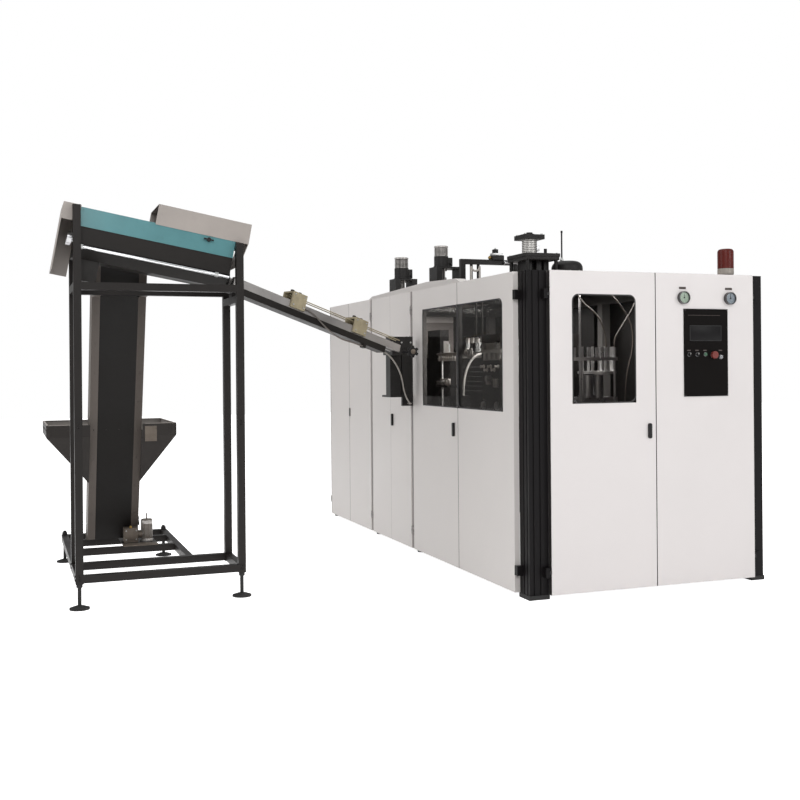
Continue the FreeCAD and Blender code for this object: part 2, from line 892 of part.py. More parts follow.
panels = []
PANEL_START = "(%s + right_post + seal_gap)" % FACE
PANEL_STEP = "((%s - %s + seam) / 4)" % (REAR, PANEL_START)
for order in range(4):
    start = "%s + %s * %d" % (PANEL_START, PANEL_STEP, order)
    outside, inside = pan("right_panel_%d" % order, (RIGHT_OUT, RIGHT),
                          (start, start + " + %s - seam" % PANEL_STEP),
                          ("floor_gap", ROOF), "x-", "panel_sheet")
    panels.append(cut("right_panel_cut_%d" % order, outside, inside))
outside, inside = pan("rear_panel", (FRAME, RIGHT), (REAR, REAR + " + rear_pan"), ("floor_gap", ROOF), "y-",
                      "panel_sheet")
outlet = box("bottle_outlet", "outlet_left", REAR + " - 1", DECK, "outlet_width", "rear_pan + 2",
             "outlet_height")
panels.append(cut("rear_panel_cut", outside, inside, outlet))
node("fixed_panels", *panels)

# ---------------------------------------------------------------------------------------------------------
# Doors, windows and handles
# ---------------------------------------------------------------------------------------------------------

def door_pan(name, side, start, end, tools):
    """A folded door with rounded outer edges, less its openings."""
    across = ("x", "y") if side == "side" else ("y", "x")
    spans = {across[0]: (OUTER, FACE), across[1]: (start, end)}
    outside, inside = pan(name, spans["x"], spans["y"], ("floor_gap", "cabinet_height"), across[0] + "+",
                          "door_sheet")
    flat = (lambda b: (b.XMin, b.XMax)) if side == "side" else (lambda b: (b.YMin, b.YMax))
    outer = size("corner_post") / 2 + size("door_depth")
    round_edges = rounded(name + "_rounded", outside, size("door_round"),
                          lambda edge: max(abs(limit + outer) for limit in flat(edge.BoundBox)) < 0.01)
    return cut(name + "_cut", round_edges, inside, *tools)


def window_hole(name, side, start, end, low, high, corners):
    """The opening of a window with some top corners rounded."""
    deep = (OUTER + " - 1", OUTER + " + door_sheet + 1")
    spans = (deep, (start, end)) if side == "side" else ((start, end), deep)
    hole = span(name, spans[0], spans[1], (low, high))
    if not corners:
        return hole
    doc.recompute([hole])
    limits = hole.Shape.BoundBox
    ends = (limits.YMin, limits.YMax) if side == "side" else (limits.XMin, limits.XMax)

    def is_corner(edge):
        middle = edge.BoundBox.Center
        along = middle.y if side == "side" else middle.x
        on_top = abs(edge.BoundBox.ZMin - limits.ZMax) < 0.01
        return on_top and any(abs(along - ends[c]) < 0.01 for c in corners)

    return rounded(name + "_rounded", hole, size("window_round"), is_corner)


def lever(name, side, along, top):
    """A lever handle with its spindle, clear of the door face; its axis is the door normal."""
    face = OUTER + " - rest_gap"
    pivot = "%s - lever_width / 2" % top
    low = "%s - lever_length + lever_width / 2" % top
    deep = (face + " - lever_depth", face)
    wide = ("%s - lever_width / 2" % along, "%s + lever_width / 2" % along)
    axis = "X" if side == "side" else "Y"
    spans = (deep, wide) if side == "side" else (wide, deep)

    def point(depth):
        return (depth, along) if side == "side" else (along, depth)

    parts = [span(name + "_bar", spans[0], spans[1], (low, pivot))]
    parts.append(rod(name + "_head", *point(deep[0]), pivot, "lever_width / 2", "lever_depth", axis))
    parts.append(rod(name + "_tail", *point(deep[0]), low, "lever_width / 2", "lever_depth", axis))
    parts.append(rod(name + "_spindle", *point(face + " - 1"), pivot, "spindle_radius",
                     "door_sheet + rest_gap + 15", axis))
    return fuse(name + "_lever", parts)


def spindle_hole(name, side, along, top):
    """The running bore of a lever in its door."""
    depth = OUTER + " - 1"
    point = (depth, along) if side == "side" else (along, depth)
    return rod(name, *point, "%s - lever_width / 2" % top, "spindle_radius + running", "door_sheet + 2",
               "X" if side == "side" else "Y")


PANE = (OUTER + " + door_sheet", OUTER + " + door_sheet + pane")
FRONT_HANDLE = "(front_seam - front_handle_in)"
SIDE_HANDLE = "(pair_seam + side_handle_in)"
MIDDLE_HANDLE = "(close_seam - middle_handle_in)"

front_left = door_pan(
    "front_left", "front", POST + " + seal_gap", "front_seam - seam / 2",
    [window_hole("front_hole", "front", "front_window_left", "front_window_right", "front_window_low",
                 "front_window_high", (0, 1)),
     spindle_hole("front_bore", "front", FRONT_HANDLE, "front_handle_top")])
node("front_door_left", fuse("front_left_hinged", [front_left]
                             + hinges("front_left_door", MOVING_HINGE, FRONT_LEFT_EDGE, *LEFT_FRONT_AXIS)))
node("front_window", span("front_pane", ("front_window_left - pane_lap", "front_window_right + pane_lap"),
                          PANE,
                          ("front_window_low - pane_lap", "front_window_high + pane_lap")))
node("handle_front", lever("front_handle", "front", FRONT_HANDLE, "front_handle_top"))

console_hole = span("console_hole", ("console_left + console_lip - rest_gap",
                                     "console_right - console_lip + rest_gap"),
                    (OUTER + " - 1", OUTER + " + door_sheet + 1"),
                    ("console_low + console_lip - rest_gap", "console_high - console_lip + rest_gap"))
front_right = door_pan("front_right", "front", "front_seam + seam / 2", RIGHT_POST + " - seal_gap",
                       [console_hole])
node("front_door_right", fuse("front_right_hinged", [front_right]
                              + hinges("front_right_door", MOVING_HINGE, FRONT_RIGHT_EDGE,
                                       *RIGHT_FRONT_AXIS)))

SIDE_EDGES = {
    1: ("corner_post / 2 + seal_gap", "pair_seam - seam / 2"),
    2: ("pair_seam + seam / 2", "first_mullion - mullion_width / 2 - seam"),
    3: ("first_mullion + mullion_width / 2 + seam", "close_seam - tight_seam / 2"),
    4: ("close_seam + tight_seam / 2", "second_mullion - mullion_width / 2 - seam"),
    5: ("second_mullion + mullion_width / 2 + seam", "rear_seam - seam / 2"),
    6: ("rear_seam + seam / 2", "third_mullion - mullion_width / 2 - seam"),
}
side_tools = {number: [] for number in SIDE_EDGES}
side_tools[1] = [window_hole("near_hole", "side", "side_window_near", SIDE_EDGES[1][1] + " - door_sheet",
                             "side_window_low", "side_window_high", (0,))]
side_tools[2] = [window_hole("far_hole", "side", SIDE_EDGES[2][0] + " + door_sheet", "side_window_far",
                             "side_window_low", "side_window_high", ()),
                 spindle_hole("side_bore", "side", SIDE_HANDLE, "side_handle_top")]
side_tools[3] = [spindle_hole("middle_bore", "side", MIDDLE_HANDLE, "middle_handle_top")]
for number, (start, end) in SIDE_EDGES.items():
    shell = door_pan("side_%d" % number, "side", start, end, side_tools[number])
    edge = NEAR_EDGE if number % 2 else FAR_EDGE
    parts = [shell] + hinges("side_%d_door" % number, MOVING_HINGE, edge, *SIDE_AXES[number])
    if number == 5:
        parts.append(span("door_lock", (OUTER + " - lock_depth", OUTER + " + 1"),
                          (end + " - lock_inset - lock_width", end + " - lock_inset"),
                          ("lock_top - lock_height", "lock_top")))
    node("side_door_%d" % number, fuse("side_%d_hinged" % number, parts))

SIDE_PANE = ("side_window_low - pane_lap", "side_window_high + pane_lap")
node("side_window_1", span("near_pane", PANE, ("side_window_near - pane_lap",
                                               SIDE_EDGES[1][1] + " - door_sheet"), SIDE_PANE))
node("side_window_2", span("far_pane", PANE, (SIDE_EDGES[2][0] + " + door_sheet",
                                              "side_window_far + pane_lap"), SIDE_PANE))
node("handle_side_2", lever("side_handle", "side", SIDE_HANDLE, "side_handle_top"))
node("handle_side_3", lever("middle_handle", "side", MIDDLE_HANDLE, "middle_handle_top"))

# ---------------------------------------------------------------------------------------------------------
# Control panel, gauges and beacon
# ---------------------------------------------------------------------------------------------------------

PLATE = "(%s - console_plate)" % OUTER
plate = span("console_front", ("console_left", "console_right"), (PLATE, OUTER),
             ("console_low", "console_high"))
INSIDE = {"x": ("console_left + console_lip", "console_right - console_lip"),
          "z": ("console_low + console_lip", "console_high - console_lip")}
outside, inside = pan("console_tray", INSIDE["x"], (PLATE + " + 1", OUTER + " + console_box"),
                      INSIDE["z"], "y+",
                      "door_sheet")
screen = span("screen_recess_cut", ("screen_left", "screen_right"),
              (PLATE + " - 1", PLATE + " + screen_recess"),
              ("screen_low", "screen_high"))
bores = []
for control, stem in (("estop", "estop_stem"), ("key", "key_stem"), ("start", "start_stem")):
    bores.append(rod(control + "_bore", control + "_across", PLATE + " - 1", control + "_up",
                     stem + " + running",
                     "console_plate + 10", "Y"))
console = fuse("console_body", [plate, cut("console_tray_cut", outside, inside)])
node("control_panel", cut("console_cut", console, screen, *bores))


def control(name, gap, head, radius, stem):
    """A round control head with a stem that runs through the panel plate."""
    face = "%s - %s" % (PLATE, gap)
    return fuse(name + "_control", [
        rod(name + "_head", name + "_across", "%s - %s" % (face, head), name + "_up", radius, head, "Y"),
        rod(name + "_stem", name + "_across", face + " - 1", name + "_up", stem,
            "%s + console_plate + 8" % gap, "Y")])


estop = control("estop", "(estop_travel + 1)", "18", "estop_radius", "estop_stem")
node("estop_button", estop)
key_bow = box("key_bow", "key_across - 2", PLATE + " - rest_gap - 26", "key_up - 9", "4", "16", "18")
node("key_switch", fuse("key_control", [control("key", "rest_gap", "12", "key_radius", "key_stem"), key_bow]))
node("start_button", control("start", "(start_travel + 1)", "8", "start_radius", "start_stem"))

gauges = []
for side in ("left", "right"):
    across = "gauge_" + side
    case = rod(side + "_case", across, OUTER + " - gauge_depth", "gauge_up", "gauge_radius",
               "gauge_depth", "Y")
    well = rod(side + "_well", across, OUTER + " - gauge_depth - 1", "gauge_up", "gauge_radius - gauge_rim",
               "gauge_recess + 1", "Y")
    pin = rod(side + "_dial_pin", across, OUTER + " - gauge_depth + 2", "gauge_up", "needle_pin",
              "gauge_recess", "Y")
    gauges.append(fuse(side + "_gauge", [cut(side + "_case_cut", case, well), pin]))
    depth = OUTER + " - gauge_depth + gauge_recess - rest_gap - 2 * needle_thick"
    hub = rod(side + "_hub", across, depth, "gauge_up", "3 * needle_pin", "needle_thick", "Y")
    arm = box(side + "_arm", across + " - needle_pin / 2", depth, "gauge_up", "needle_pin", "needle_thick",
              "needle_length")
    bore = rod(side + "_needle_bore", across, depth + " - 1", "gauge_up", "needle_pin + running",
               "needle_thick + 2", "Y")
    node("gauge_needle_" + side, cut(side + "_needle", fuse(side + "_needle_solid", [hub, arm]), bore))
node("pressure_gauges", *gauges)

BEACON_SEAT = "(cabinet_height + beacon_clear)"
node("beacon_base", fuse("beacon_mount", [
    rod("beacon_foot_rod", "beacon_across", "beacon_in", ROOF_TOP, "beacon_foot",
        BEACON_SEAT + " + 1 - " + ROOF_TOP),
    rod("beacon_collar_rod", "beacon_across", "beacon_in", BEACON_SEAT, "beacon_collar",
        "beacon_collar_top - " + BEACON_SEAT)]))


def drum_top(name, middle, radius, low, high, shoulder):
    """An upright round drum with a flat top and a rounded shoulder, standing over the named middle."""
    ring = doc.addObject("Part::Torus", name + "_ring")
    bind(ring, "Radius1", "%s - (%s)" % (radius, shoulder))
    bind(ring, "Radius2", shoulder)
    place(ring, *middle, "%s - (%s)" % (high, shoulder))
    bar = rod(name + "_bar", *middle, low, radius, "%s - (%s) - (%s)" % (high, shoulder, low))
    core = rod(name + "_core", *middle, low, "%s - (%s)" % (radius, shoulder), "%s - (%s)" % (high, low))
    return fuse(name, [bar, core, ring])


BEACON = ("beacon_across", "beacon_in")
outside = drum_top("beacon_outside", BEACON, "beacon_radius", "beacon_collar_top", "beacon_top",
                   "beacon_shoulder")
inside = drum_top("beacon_inside", BEACON, "(beacon_radius - beacon_wall)", "beacon_collar_top - 1",
                  "(beacon_top - beacon_wall)", "beacon_shoulder - beacon_wall")
node("beacon_dome", cut("beacon_shell", outside, inside))

# ---------------------------------------------------------------------------------------------------------
# Things on the roof
# ---------------------------------------------------------------------------------------------------------

STRETCH = ("stretch_across", "stretch_in")
NEAR_SIDE = "stretch_in - stretch_block / 2"
base_plates = [
    box("stretch_low_plate", "stretch_block_left", NEAR_SIDE, ROOF_TOP, "stretch_block_length",
        "stretch_block",
        "stretch_plate_low / 2"),
    box("stretch_high_plate", "stretch_block_left", NEAR_SIDE, "stretch_block_top - stretch_plate_low",
        "stretch_block_length", "stretch_block", "stretch_plate_low"),
]
for across in ("stretch_leg_inset", "stretch_block_length - stretch_leg_inset"):
    for inward in ("stretch_leg_inset", "stretch_block - stretch_leg_inset"):
        base_plates.append(rod("stretch_leg_%d" % len(base_plates), "stretch_block_left + " + across,
                               "%s + %s" % (NEAR_SIDE, inward), ROOF_TOP, "stretch_leg",
                               "stretch_block_top - 1 - " + ROOF_TOP))
barrel = rod("stretch_barrel", *STRETCH, "stretch_block_top - 1", "stretch_tube",
             "stretch_tube_top - stretch_block_top + 2")
cap = box("stretch_cap", "stretch_across - stretch_plate / 2", "stretch_in - stretch_plate / 2",
          "stretch_tube_top", "stretch_plate", "stretch_plate", "stretch_plate_thick")
side_pipe = rod("stretch_side_pipe", "side_pipe_across", "stretch_in", "stretch_block_top - 1", "pipe_radius",
                "side_pipe_top - stretch_block_top + 1")
rod_bore = rod("stretch_rod_bore", *STRETCH, ROOF_TOP + " - 1", "rod_radius + running",
               "stretch_tube_top + stretch_plate_thick - %s - 5" % ROOF_TOP)
node("stretch_cylinder", cut("stretch_unit", fuse("stretch_solid",
                                                  base_plates + [barrel, cap, side_pipe]), rod_bore))
node("stretch_rod", rod("stretch_rod_bar", *STRETCH, "rod_low", "rod_radius", "rod_high - rod_low"))

PORTAL_LOW = "(portal_top - portal_tube)"
portal = [
    box("portal_left_leg", "portal_left", "portal_in - portal_tube / 2", ROOF_TOP, "portal_tube",
        "portal_tube",
        "%s - %s" % (PORTAL_LOW, ROOF_TOP)),
    box("portal_right_leg", "portal_right - portal_tube", "portal_in - portal_tube / 2", ROOF_TOP,
        "portal_tube",
        "portal_tube", "%s - %s" % (PORTAL_LOW, ROOF_TOP)),
    box("portal_head", "portal_left", "portal_in - portal_tube / 2", PORTAL_LOW, "portal_right - portal_left",
        "portal_tube", "portal_tube"),
    box("portal_valve", "valve_left", "portal_in - valve_depth / 2", "portal_top - 1", "valve_width",
        "valve_depth", "valve_height + 1"),
]
for order in range(2):
    portal.append(rod("portal_pipe_%d" % order, "pipe_across + pipe_pitch * %d" % order, "portal_in",
                      ROOF_TOP,
                      "pipe_radius", "%s - %s" % (PORTAL_LOW, ROOF_TOP)))
DOME = ("dome_across", "dome_in")
dome = [
    drum_top("dome_drum", DOME, "dome_core", ROOF_TOP, "dome_top", "dome_shoulder"),
    rod("dome_mast", "mast_across", "dome_in", "dome_cap - 10", "mast_radius", "mast_top - dome_cap + 10"),
]
for order in range(3):
    dome.append(rod("dome_rib_%d" % order, *DOME, ROOF_TOP + " + dome_rib + dome_pitch * %d" % order,
                    "dome_radius", "dome_rib"))
node("roof_frame", fuse("portal_frame", portal), fuse("dome_body", dome))

motors = []
for side in ("near", "far"):
    top, length, radius = "stand_%s_top" % side, "stand_%s_length" % side, side + "_motor_radius"
    middle = (side + "_motor_across", side + "_motor_in")
    start = side + "_motor_in - stand_width / 2"
    tall = "(%s_motor_top - %s)" % (side, top)
    stand = [
        box(side + "_stand_foot", "stand_left", start, ROOF_TOP, length, "stand_width", "stand_plate / 2"),
        box(side + "_stand_top", "stand_left", start, top + " - stand_plate", length, "stand_width",
            "stand_plate"),
        box(side + "_left_leg", "stand_left", start, ROOF_TOP, "stand_leg", "stand_width",
            "%s - %s" % (top, ROOF_TOP)),
        box(side + "_right_leg", "stand_left + %s - stand_leg" % length, start, ROOF_TOP, "stand_leg",
            "stand_width", "%s - %s" % (top, ROOF_TOP)),
    ]
    motor = [
        rod(side + "_motor_body", *middle, top + " - 1", radius, tall + " / 2 + 1"),
        rod(side + "_motor_crown", *middle, top, radius + " * motor_crown", tall),
        box(side + "_terminal_box", "%s + %s - 10" % (middle[0], radius), middle[1] + " - terminal_box / 2",
            top + " + 8", "terminal_box / 2 + 10", "terminal_box", tall + " / 2 - 16"),
    ]
    motors.append(fuse(side + "_motor_unit", stand + motor))
node("roof_motors", *motors)

# ---------------------------------------------------------------------------------------------------------
# Blow station
# ---------------------------------------------------------------------------------------------------------

PRESS_NEAR = "(stretch_in - press_depth / 2)"
PRESS_FAR = "(stretch_in + press_depth / 2)"
PLATEN_RIGHT = "(platen_left + press_span)"
BED_TOP = "(deck_top + press_bed)"
press = [span("press_bed_plate", ("platen_left", PLATEN_RIGHT), (PRESS_NEAR, PRESS_FAR), (DECK, BED_TOP))]
press.append(span("left_platen", ("platen_left", "platen_left + platen"), (PRESS_NEAR, PRESS_FAR),
                  (BED_TOP + " - 1", "press_high")))
press.append(span("right_platen", (PLATEN_RIGHT + " - platen", PLATEN_RIGHT), (PRESS_NEAR, PRESS_FAR),
                  (BED_TOP + " - 1", "press_high")))
BARS = [(y, z) for y in (PRESS_NEAR + " + bar_inset", PRESS_FAR + " - bar_inset") for z in ("bar_low",
    "bar_high")]
for order, (y, z) in enumerate(BARS):
    press.append(rod("tie_bar_%d" % order, "platen_left + 1", y, z, "bar_radius", "press_span - 2", "X"))
MOULD_MIDDLE = "mould_low + mould_height / 2"
ram_bore = rod("ram_bore", "platen_left - 1", "stretch_in", MOULD_MIDDLE, "ram_radius + running",
               "press_span + 2", "X")
SIDE_RAIL = "(deck_top + side_rail_rise)"
PLATEN_MIDDLE = "platen_left + platen / 2"
fittings = [
    span("side_rail", ("platen_left - side_rail_out", "platen_left + 1"), ("side_rail_near", "side_rail_far"),
         (SIDE_RAIL, SIDE_RAIL + " + side_rail_tall")),
    span("pipe_arm", ("platen_left", "platen_left + platen"), (PRESS_FAR + " - 10", "arm_far"),
         ("press_high - arm_thick", "press_high")),
]
for order in range(4):
    fittings.append(rod("side_drop_%d" % order, "platen_left - side_rail_out / 2",
                        "side_rail_near + (side_rail_far - side_rail_near) * (%d + 0.5) / 4" % order,
                        SIDE_RAIL + " - drop_height", "drop_radius", "drop_height + 1"))
for side in ("near", "far"):
    fittings.append(rod(side + "_press_pipe", PLATEN_MIDDLE, side + "_pipe_in", "press_high - 1",
                        "press_pipe",
                        ROOF + " - rest_gap - press_high + 1"))
press_plates = cut("press_plates", fuse("press_plates_solid", press[:3]), ram_bore)
node("press_frame", fuse("press_body", [press_plates] + press[3:] + fittings))

BEHIND = "mould_gap + mould_thick"
for side, sign in (("left", "-"), ("right", "+")):
    def across(near, far, middle="stretch_across", sign=sign):
        """The span between two distances from the middle on this side."""
        low, high = (far, near) if sign == "-" else (near, far)
        return "%s %s (%s)" % (middle, sign, low), "%s %s (%s)" % (middle, sign, high)

    half = span(side + "_block", across("mould_gap", BEHIND),
                ("stretch_in - mould_depth / 2", "stretch_in + mould_depth / 2"),
                ("mould_low", "mould_low + mould_height"))
    plate = span(side + "_carrier", across(BEHIND + " - 1", BEHIND + " + carrier"), (PRESS_NEAR, PRESS_FAR),
                 ("carrier_low", "carrier_high"))
    ram_span = across(BEHIND + " + carrier - 1", BEHIND + " + carrier + ram_length")
    ram = rod(side + "_ram", ram_span[0], "stretch_in", MOULD_MIDDLE, "ram_radius", "ram_length + 1", "X")
    face = across("mould_gap", "mould_gap")[0]
    cavity = rod(side + "_cavity", face, "stretch_in", "mould_low + mould_height - cavity_height - 60",
                 "cavity_radius", "cavity_height")
    neck = rod(side + "_neck", face, "stretch_in", "mould_low + mould_height - 61", "neck_radius", "62")
    slots = [rod("%s_bar_bore_%d" % (side, order), across(BEHIND + " - 2", BEHIND + " + carrier + 2")[0],
                 y, z,
                 "bar_radius + running", "carrier + 4", "X") for order, (y, z) in enumerate(BARS)]
    node("mould_" + side, cut(side + "_mould", fuse(side + "_mould_solid", [half, plate, ram]), cavity, neck,
                              *slots))

# ---------------------------------------------------------------------------------------------------------
# Preform transfer and oven
# ---------------------------------------------------------------------------------------------------------

WHEEL = ("wheel_across", "wheel_in")
COLUMN_TOP = "(wheel_low - wheel_clear)"
pedestal = [
    span("pedestal_block", ("pedestal_left", "pedestal_right"), ("pedestal_near", "pedestal_far"),
         (DECK, "pedestal_top")),
    rod("wheel_column", *WHEEL, "pedestal_top - 1", "column_radius", COLUMN_TOP + " - pedestal_top + 1"),
    rod("silver_column", "silver_across", "silver_in", "pedestal_top - 1", "column_radius",
        COLUMN_TOP + " - pedestal_top + 1"),
    rod("silver_flange", "silver_across", "silver_in", "pedestal_top - 1", "column_flange",
        "flange_thick + 1"),
]
pedestal.append(rod("silver_rod_bar", "silver_rod_across", "silver_in", "pedestal_top - 1", "silver_rod",
                    ROOF + " - rest_gap - pedestal_top + 1"))
hub_bore = rod("hub_bore", *WHEEL, "wheel_low - hub_length", "hub_radius + running", "hub_length")
MANIFOLD = "(deck_top + manifold_rise)"
BAR_TOP = "(deck_top + manifold_rise + manifold_thick)"
bar_run = "manifold_left + (manifold_right - manifold_left) * %s"
manifold = [
    span("manifold_bar", ("manifold_left", "manifold_right"),
         ("manifold_in - manifold_side / 2", "manifold_in + manifold_side / 2"), (MANIFOLD, BAR_TOP)),
]
for order, share in enumerate((0.04, 0.21, 0.37, 0.55, 0.66, 0.755, 0.95)):
    manifold.append(rod("fitting_%d" % order, bar_run % share, "manifold_in", BAR_TOP + " - 1",
                        "fitting_radius", "fitting_height + 1"))
for order, share in enumerate((0.21, 0.95)):
    manifold.append(rod("manifold_post_%d" % order, bar_run % share, "manifold_in", DECK,
                        "0.8 * fitting_radius",
                        MANIFOLD + " - deck_top + 1"))
ceiling = span("ceiling_block", ("ceiling_left", "ceiling_right"),
               ("ceiling_near", "manifold_in + manifold_side / 2"),
               (ROOF + " - rest_gap - ceiling_thick", ROOF + " - rest_gap"))
hose_foot = span("hose_foot", ("hose_foot_across - manifold_side / 2",
                               "hose_foot_across + manifold_side / 2"),
                 ("manifold_in - manifold_side / 2", "manifold_in + manifold_side / 2"),
                 (DECK, "deck_top + hose_foot_height"))
node("transfer_pedestal", cut("pedestal_body", fuse("pedestal_solid", pedestal), hub_bore),
     fuse("manifold_body", manifold), ceiling, hose_foot)

wheel = [
    rod("wheel_disc", *WHEEL, "wheel_low", "wheel_radius", "wheel_thick"),
    rod("wheel_hub", *WHEEL, "wheel_low - hub_length + 5", "hub_radius", "hub_length - 4"),
]
for order in range(8):
    angle = "%d" % (45 * order)
    wheel.append(rod("grip_%d" % order, "wheel_across + grip_circle * cos(%s)" % angle,
                     "wheel_in + grip_circle * sin(%s)" % angle, "wheel_low + wheel_thick - 1", "grip_radius",
                     "grip_height + 1"))
node("transfer_wheel", fuse("wheel_body", wheel))


def stadium(name, radius, low, height):
    """A flat bar with round ends that follows the chain."""
    return fuse(name, [
        span(name + "_middle", ("chain_across - (%s)" % radius, "chain_across + (%s)" % radius),
             ("chain_start", "chain_end"), (low, "%s + %s" % (low, height))),
        rod(name + "_start", "chain_across", "chain_start", low, radius, height),
        rod(name + "_end", "chain_across", "chain_end", low, radius, height)])


chain_rail = cut("chain_rail", stadium("chain_outside", "chain_radius + chain_bar / 2", "chain_low",
                                       "chain_bar"),
                 stadium("chain_inside", "chain_radius - chain_bar / 2", "chain_low - 1", "chain_bar + 2"))
oven = [chain_rail]
for side, sign in (("left", "-"), ("right", "+")):
    for order in range(11):
        oven.append(rod("%s_mandrel_%d" % (side, order), "chain_across %s chain_radius" % sign,
                        "chain_start + mandrel_pitch * %d" % order, "chain_low + chain_bar - 1",
                        "mandrel_radius", "mandrel_height + 1"))
    inner = "(chain_across %s (chain_radius + oven_gap))" % sign
    outer = "(chain_across %s (chain_radius + oven_gap + bank_depth))" % sign
    wide = (outer, inner) if sign == "-" else (inner, outer)
    oven.append(span(side + "_bank", wide, ("oven_start", "oven_end"), ("oven_low", "oven_high")))
    for end, y in (("near", "oven_start"), ("far", "oven_end - bank_end")):
        reach = "(chain_across %s (chain_radius - chain_bar / 2))" % sign
        both = (outer, reach) if sign == "-" else (reach, outer)
        oven.append(span("%s_%s_plate" % (side, end), both, (y, y + " + bank_end"),
                         ("oven_low", "chain_low + 1")))
        oven.append(box("%s_%s_leg" % (side, end), "(%s + %s) / 2 - oven_leg / 2" % wide,
                        "%s - oven_leg / 2 + bank_end / 2" % y, DECK, "oven_leg", "oven_leg",
                        "oven_low - deck_top + 20"))
    for order in range(6):
        oven.append(rod("%s_lamp_%d" % (side, order), "chain_across %s (chain_radius + oven_gap - 16)" % sign,
                        "oven_start + 1", "oven_low + lamp_pitch * (%d + 0.5)" % order, "lamp_radius",
                        "oven_end - oven_start - 2", "Y"))
oven.append(box("hose_block", "hose_block_left", "hose_post_in + hose_post_width / 2 - hose_block_side / 2",
                "chain_low", "hose_block_length", "hose_block_side", "hose_block_side"))
oven.append(span("blower_box", ("chain_across - chain_radius - oven_gap - bank_depth",
                                "chain_across - chain_radius - chain_bar / 2 - 5"),
                 ("blower_near", "blower_far"), ("oven_high - 1", "oven_high + blower_height")))
node("oven", fuse("oven_body", oven))

# ---------------------------------------------------------------------------------------------------------
# Feeder frame
# ---------------------------------------------------------------------------------------------------------

TUBE = "feeder_tube"
LEFT_IN = "(frame_left + feeder_tube)"
RIGHT_LOW = "(frame_right - feeder_tube)"
NEAR_IN = "(frame_near + feeder_tube)"
FAR_LOW = "(frame_far - feeder_tube)"
BAY_LOW = "(bay_right - feeder_tube)"
BASE_TOP = "(base_low + feeder_tube)"
HIGH_LOW = "(high_beam_top - feeder_tube)"


def bar(name, axis, low, length, capped=False):
    """A square tube of the feeder frame."""
    return tube(name, axis, low, length, TUBE, "feeder_wall", capped)


feeder = []
for name, x, y, top in (("near_left", "frame_left", "frame_near", "near_left_top"),
                        ("near_right", RIGHT_LOW, "frame_near", "near_right_top"),
                        ("far_left", "frame_left", FAR_LOW, "far_left_top"),
                        ("far_right", RIGHT_LOW, FAR_LOW, "far_right_top")):
    feeder.append(bar(name + "_upright", "Z", (x, y, "base_low"), top + " - base_low", True))
    feeder.append(box(name + "_foot_plate", x, y, "base_low - foot_plate", TUBE, TUBE, "foot_plate"))
BAY = "%s - %s" % (RIGHT_LOW, LEFT_IN)
for level, low in (("base", "base_low"), ("high", HIGH_LOW)):
    feeder.append(bar("near_%s_rail" % level, "X", (LEFT_IN, "frame_near", low), BAY))
    feeder.append(bar("far_%s_rail" % level, "X", (LEFT_IN, FAR_LOW, low), BAY))
    feeder.append(bar("left_%s_rail" % level, "Y", ("frame_left", NEAR_IN, low),
                      "%s - %s" % (FAR_LOW, NEAR_IN)))
feeder.append(bar("right_base_rail", "Y", (RIGHT_LOW, NEAR_IN, "base_low"), "%s - %s" % (FAR_LOW, NEAR_IN)))
feeder.append(bar("chute_beam", "Y", (RIGHT_LOW, NEAR_IN, "chute_beam_top - feeder_tube"),
                  "%s - %s" % (FAR_LOW, NEAR_IN)))
for side, x in (("left", "frame_left"), ("right", BAY_LOW)):
    rail = bar(side + "_rear_rail", "Y", (x, "frame_far", "base_low"), "frame_rear - frame_far")
    hole = rod(side + "_stem_hole", x + " + feeder_tube / 2", "frame_rear - feeder_tube / 2", "base_low - 1",
               "foot_stem + rest_gap", "feeder_tube + 2")
    feeder.append(cut(side + "_rear_rail_bored", rail, hole))
for name, y in (("first", "sill_one - feeder_tube / 2"), ("second", "sill_two - feeder_tube / 2"),
                ("rear", "frame_rear - feeder_tube")):
    feeder.append(bar(name + "_sill", "X", (LEFT_IN, y, "base_low"), "%s - %s" % (BAY_LOW, LEFT_IN)))


def in_chute(name, parts):
    """Parts given along the chute, with the origin at the top of its start, set in the row."""
    sloped = turned(name + "_slope", parts, Vector(0, 1, 0), "chute_slope", "0", "0", "0")
    return turned(name, [sloped], Vector(0, 0, 1), "chute_turn", "chute_across", "chute_in", "chute_up")


RAIL_OUT = "(rail_gap / 2 + rail_width)"
saddle = box("saddle_block", RIGHT_LOW, "chute_in - 2 * feeder_tube", "chute_beam_top", TUBE,
             "2 * feeder_tube",
             "saddle_top - chute_beam_top")
start_space = in_chute("chute_start_space", [
    span("start_space", ("-2 * chute_before", "chute_length"), ("-4 * rail_width", "4 * rail_width"),
         ("-rail_height - channel_height", "rail_height"))])
feeder.append(cut("chute_saddle", saddle, start_space))
node("feeder_frame", *feeder)

# ---------------------------------------------------------------------------------------------------------
# Elevator: its own frame starts on the near face, z runs up along the belt
# ---------------------------------------------------------------------------------------------------------

def in_elevator(name, parts):
    """Parts given along the elevator, set in the row."""
    return turned(name, parts, Vector(1, 0, 0), "elevator_tilt", "elevator_middle", "elevator_near",
                  "elevator_floor")


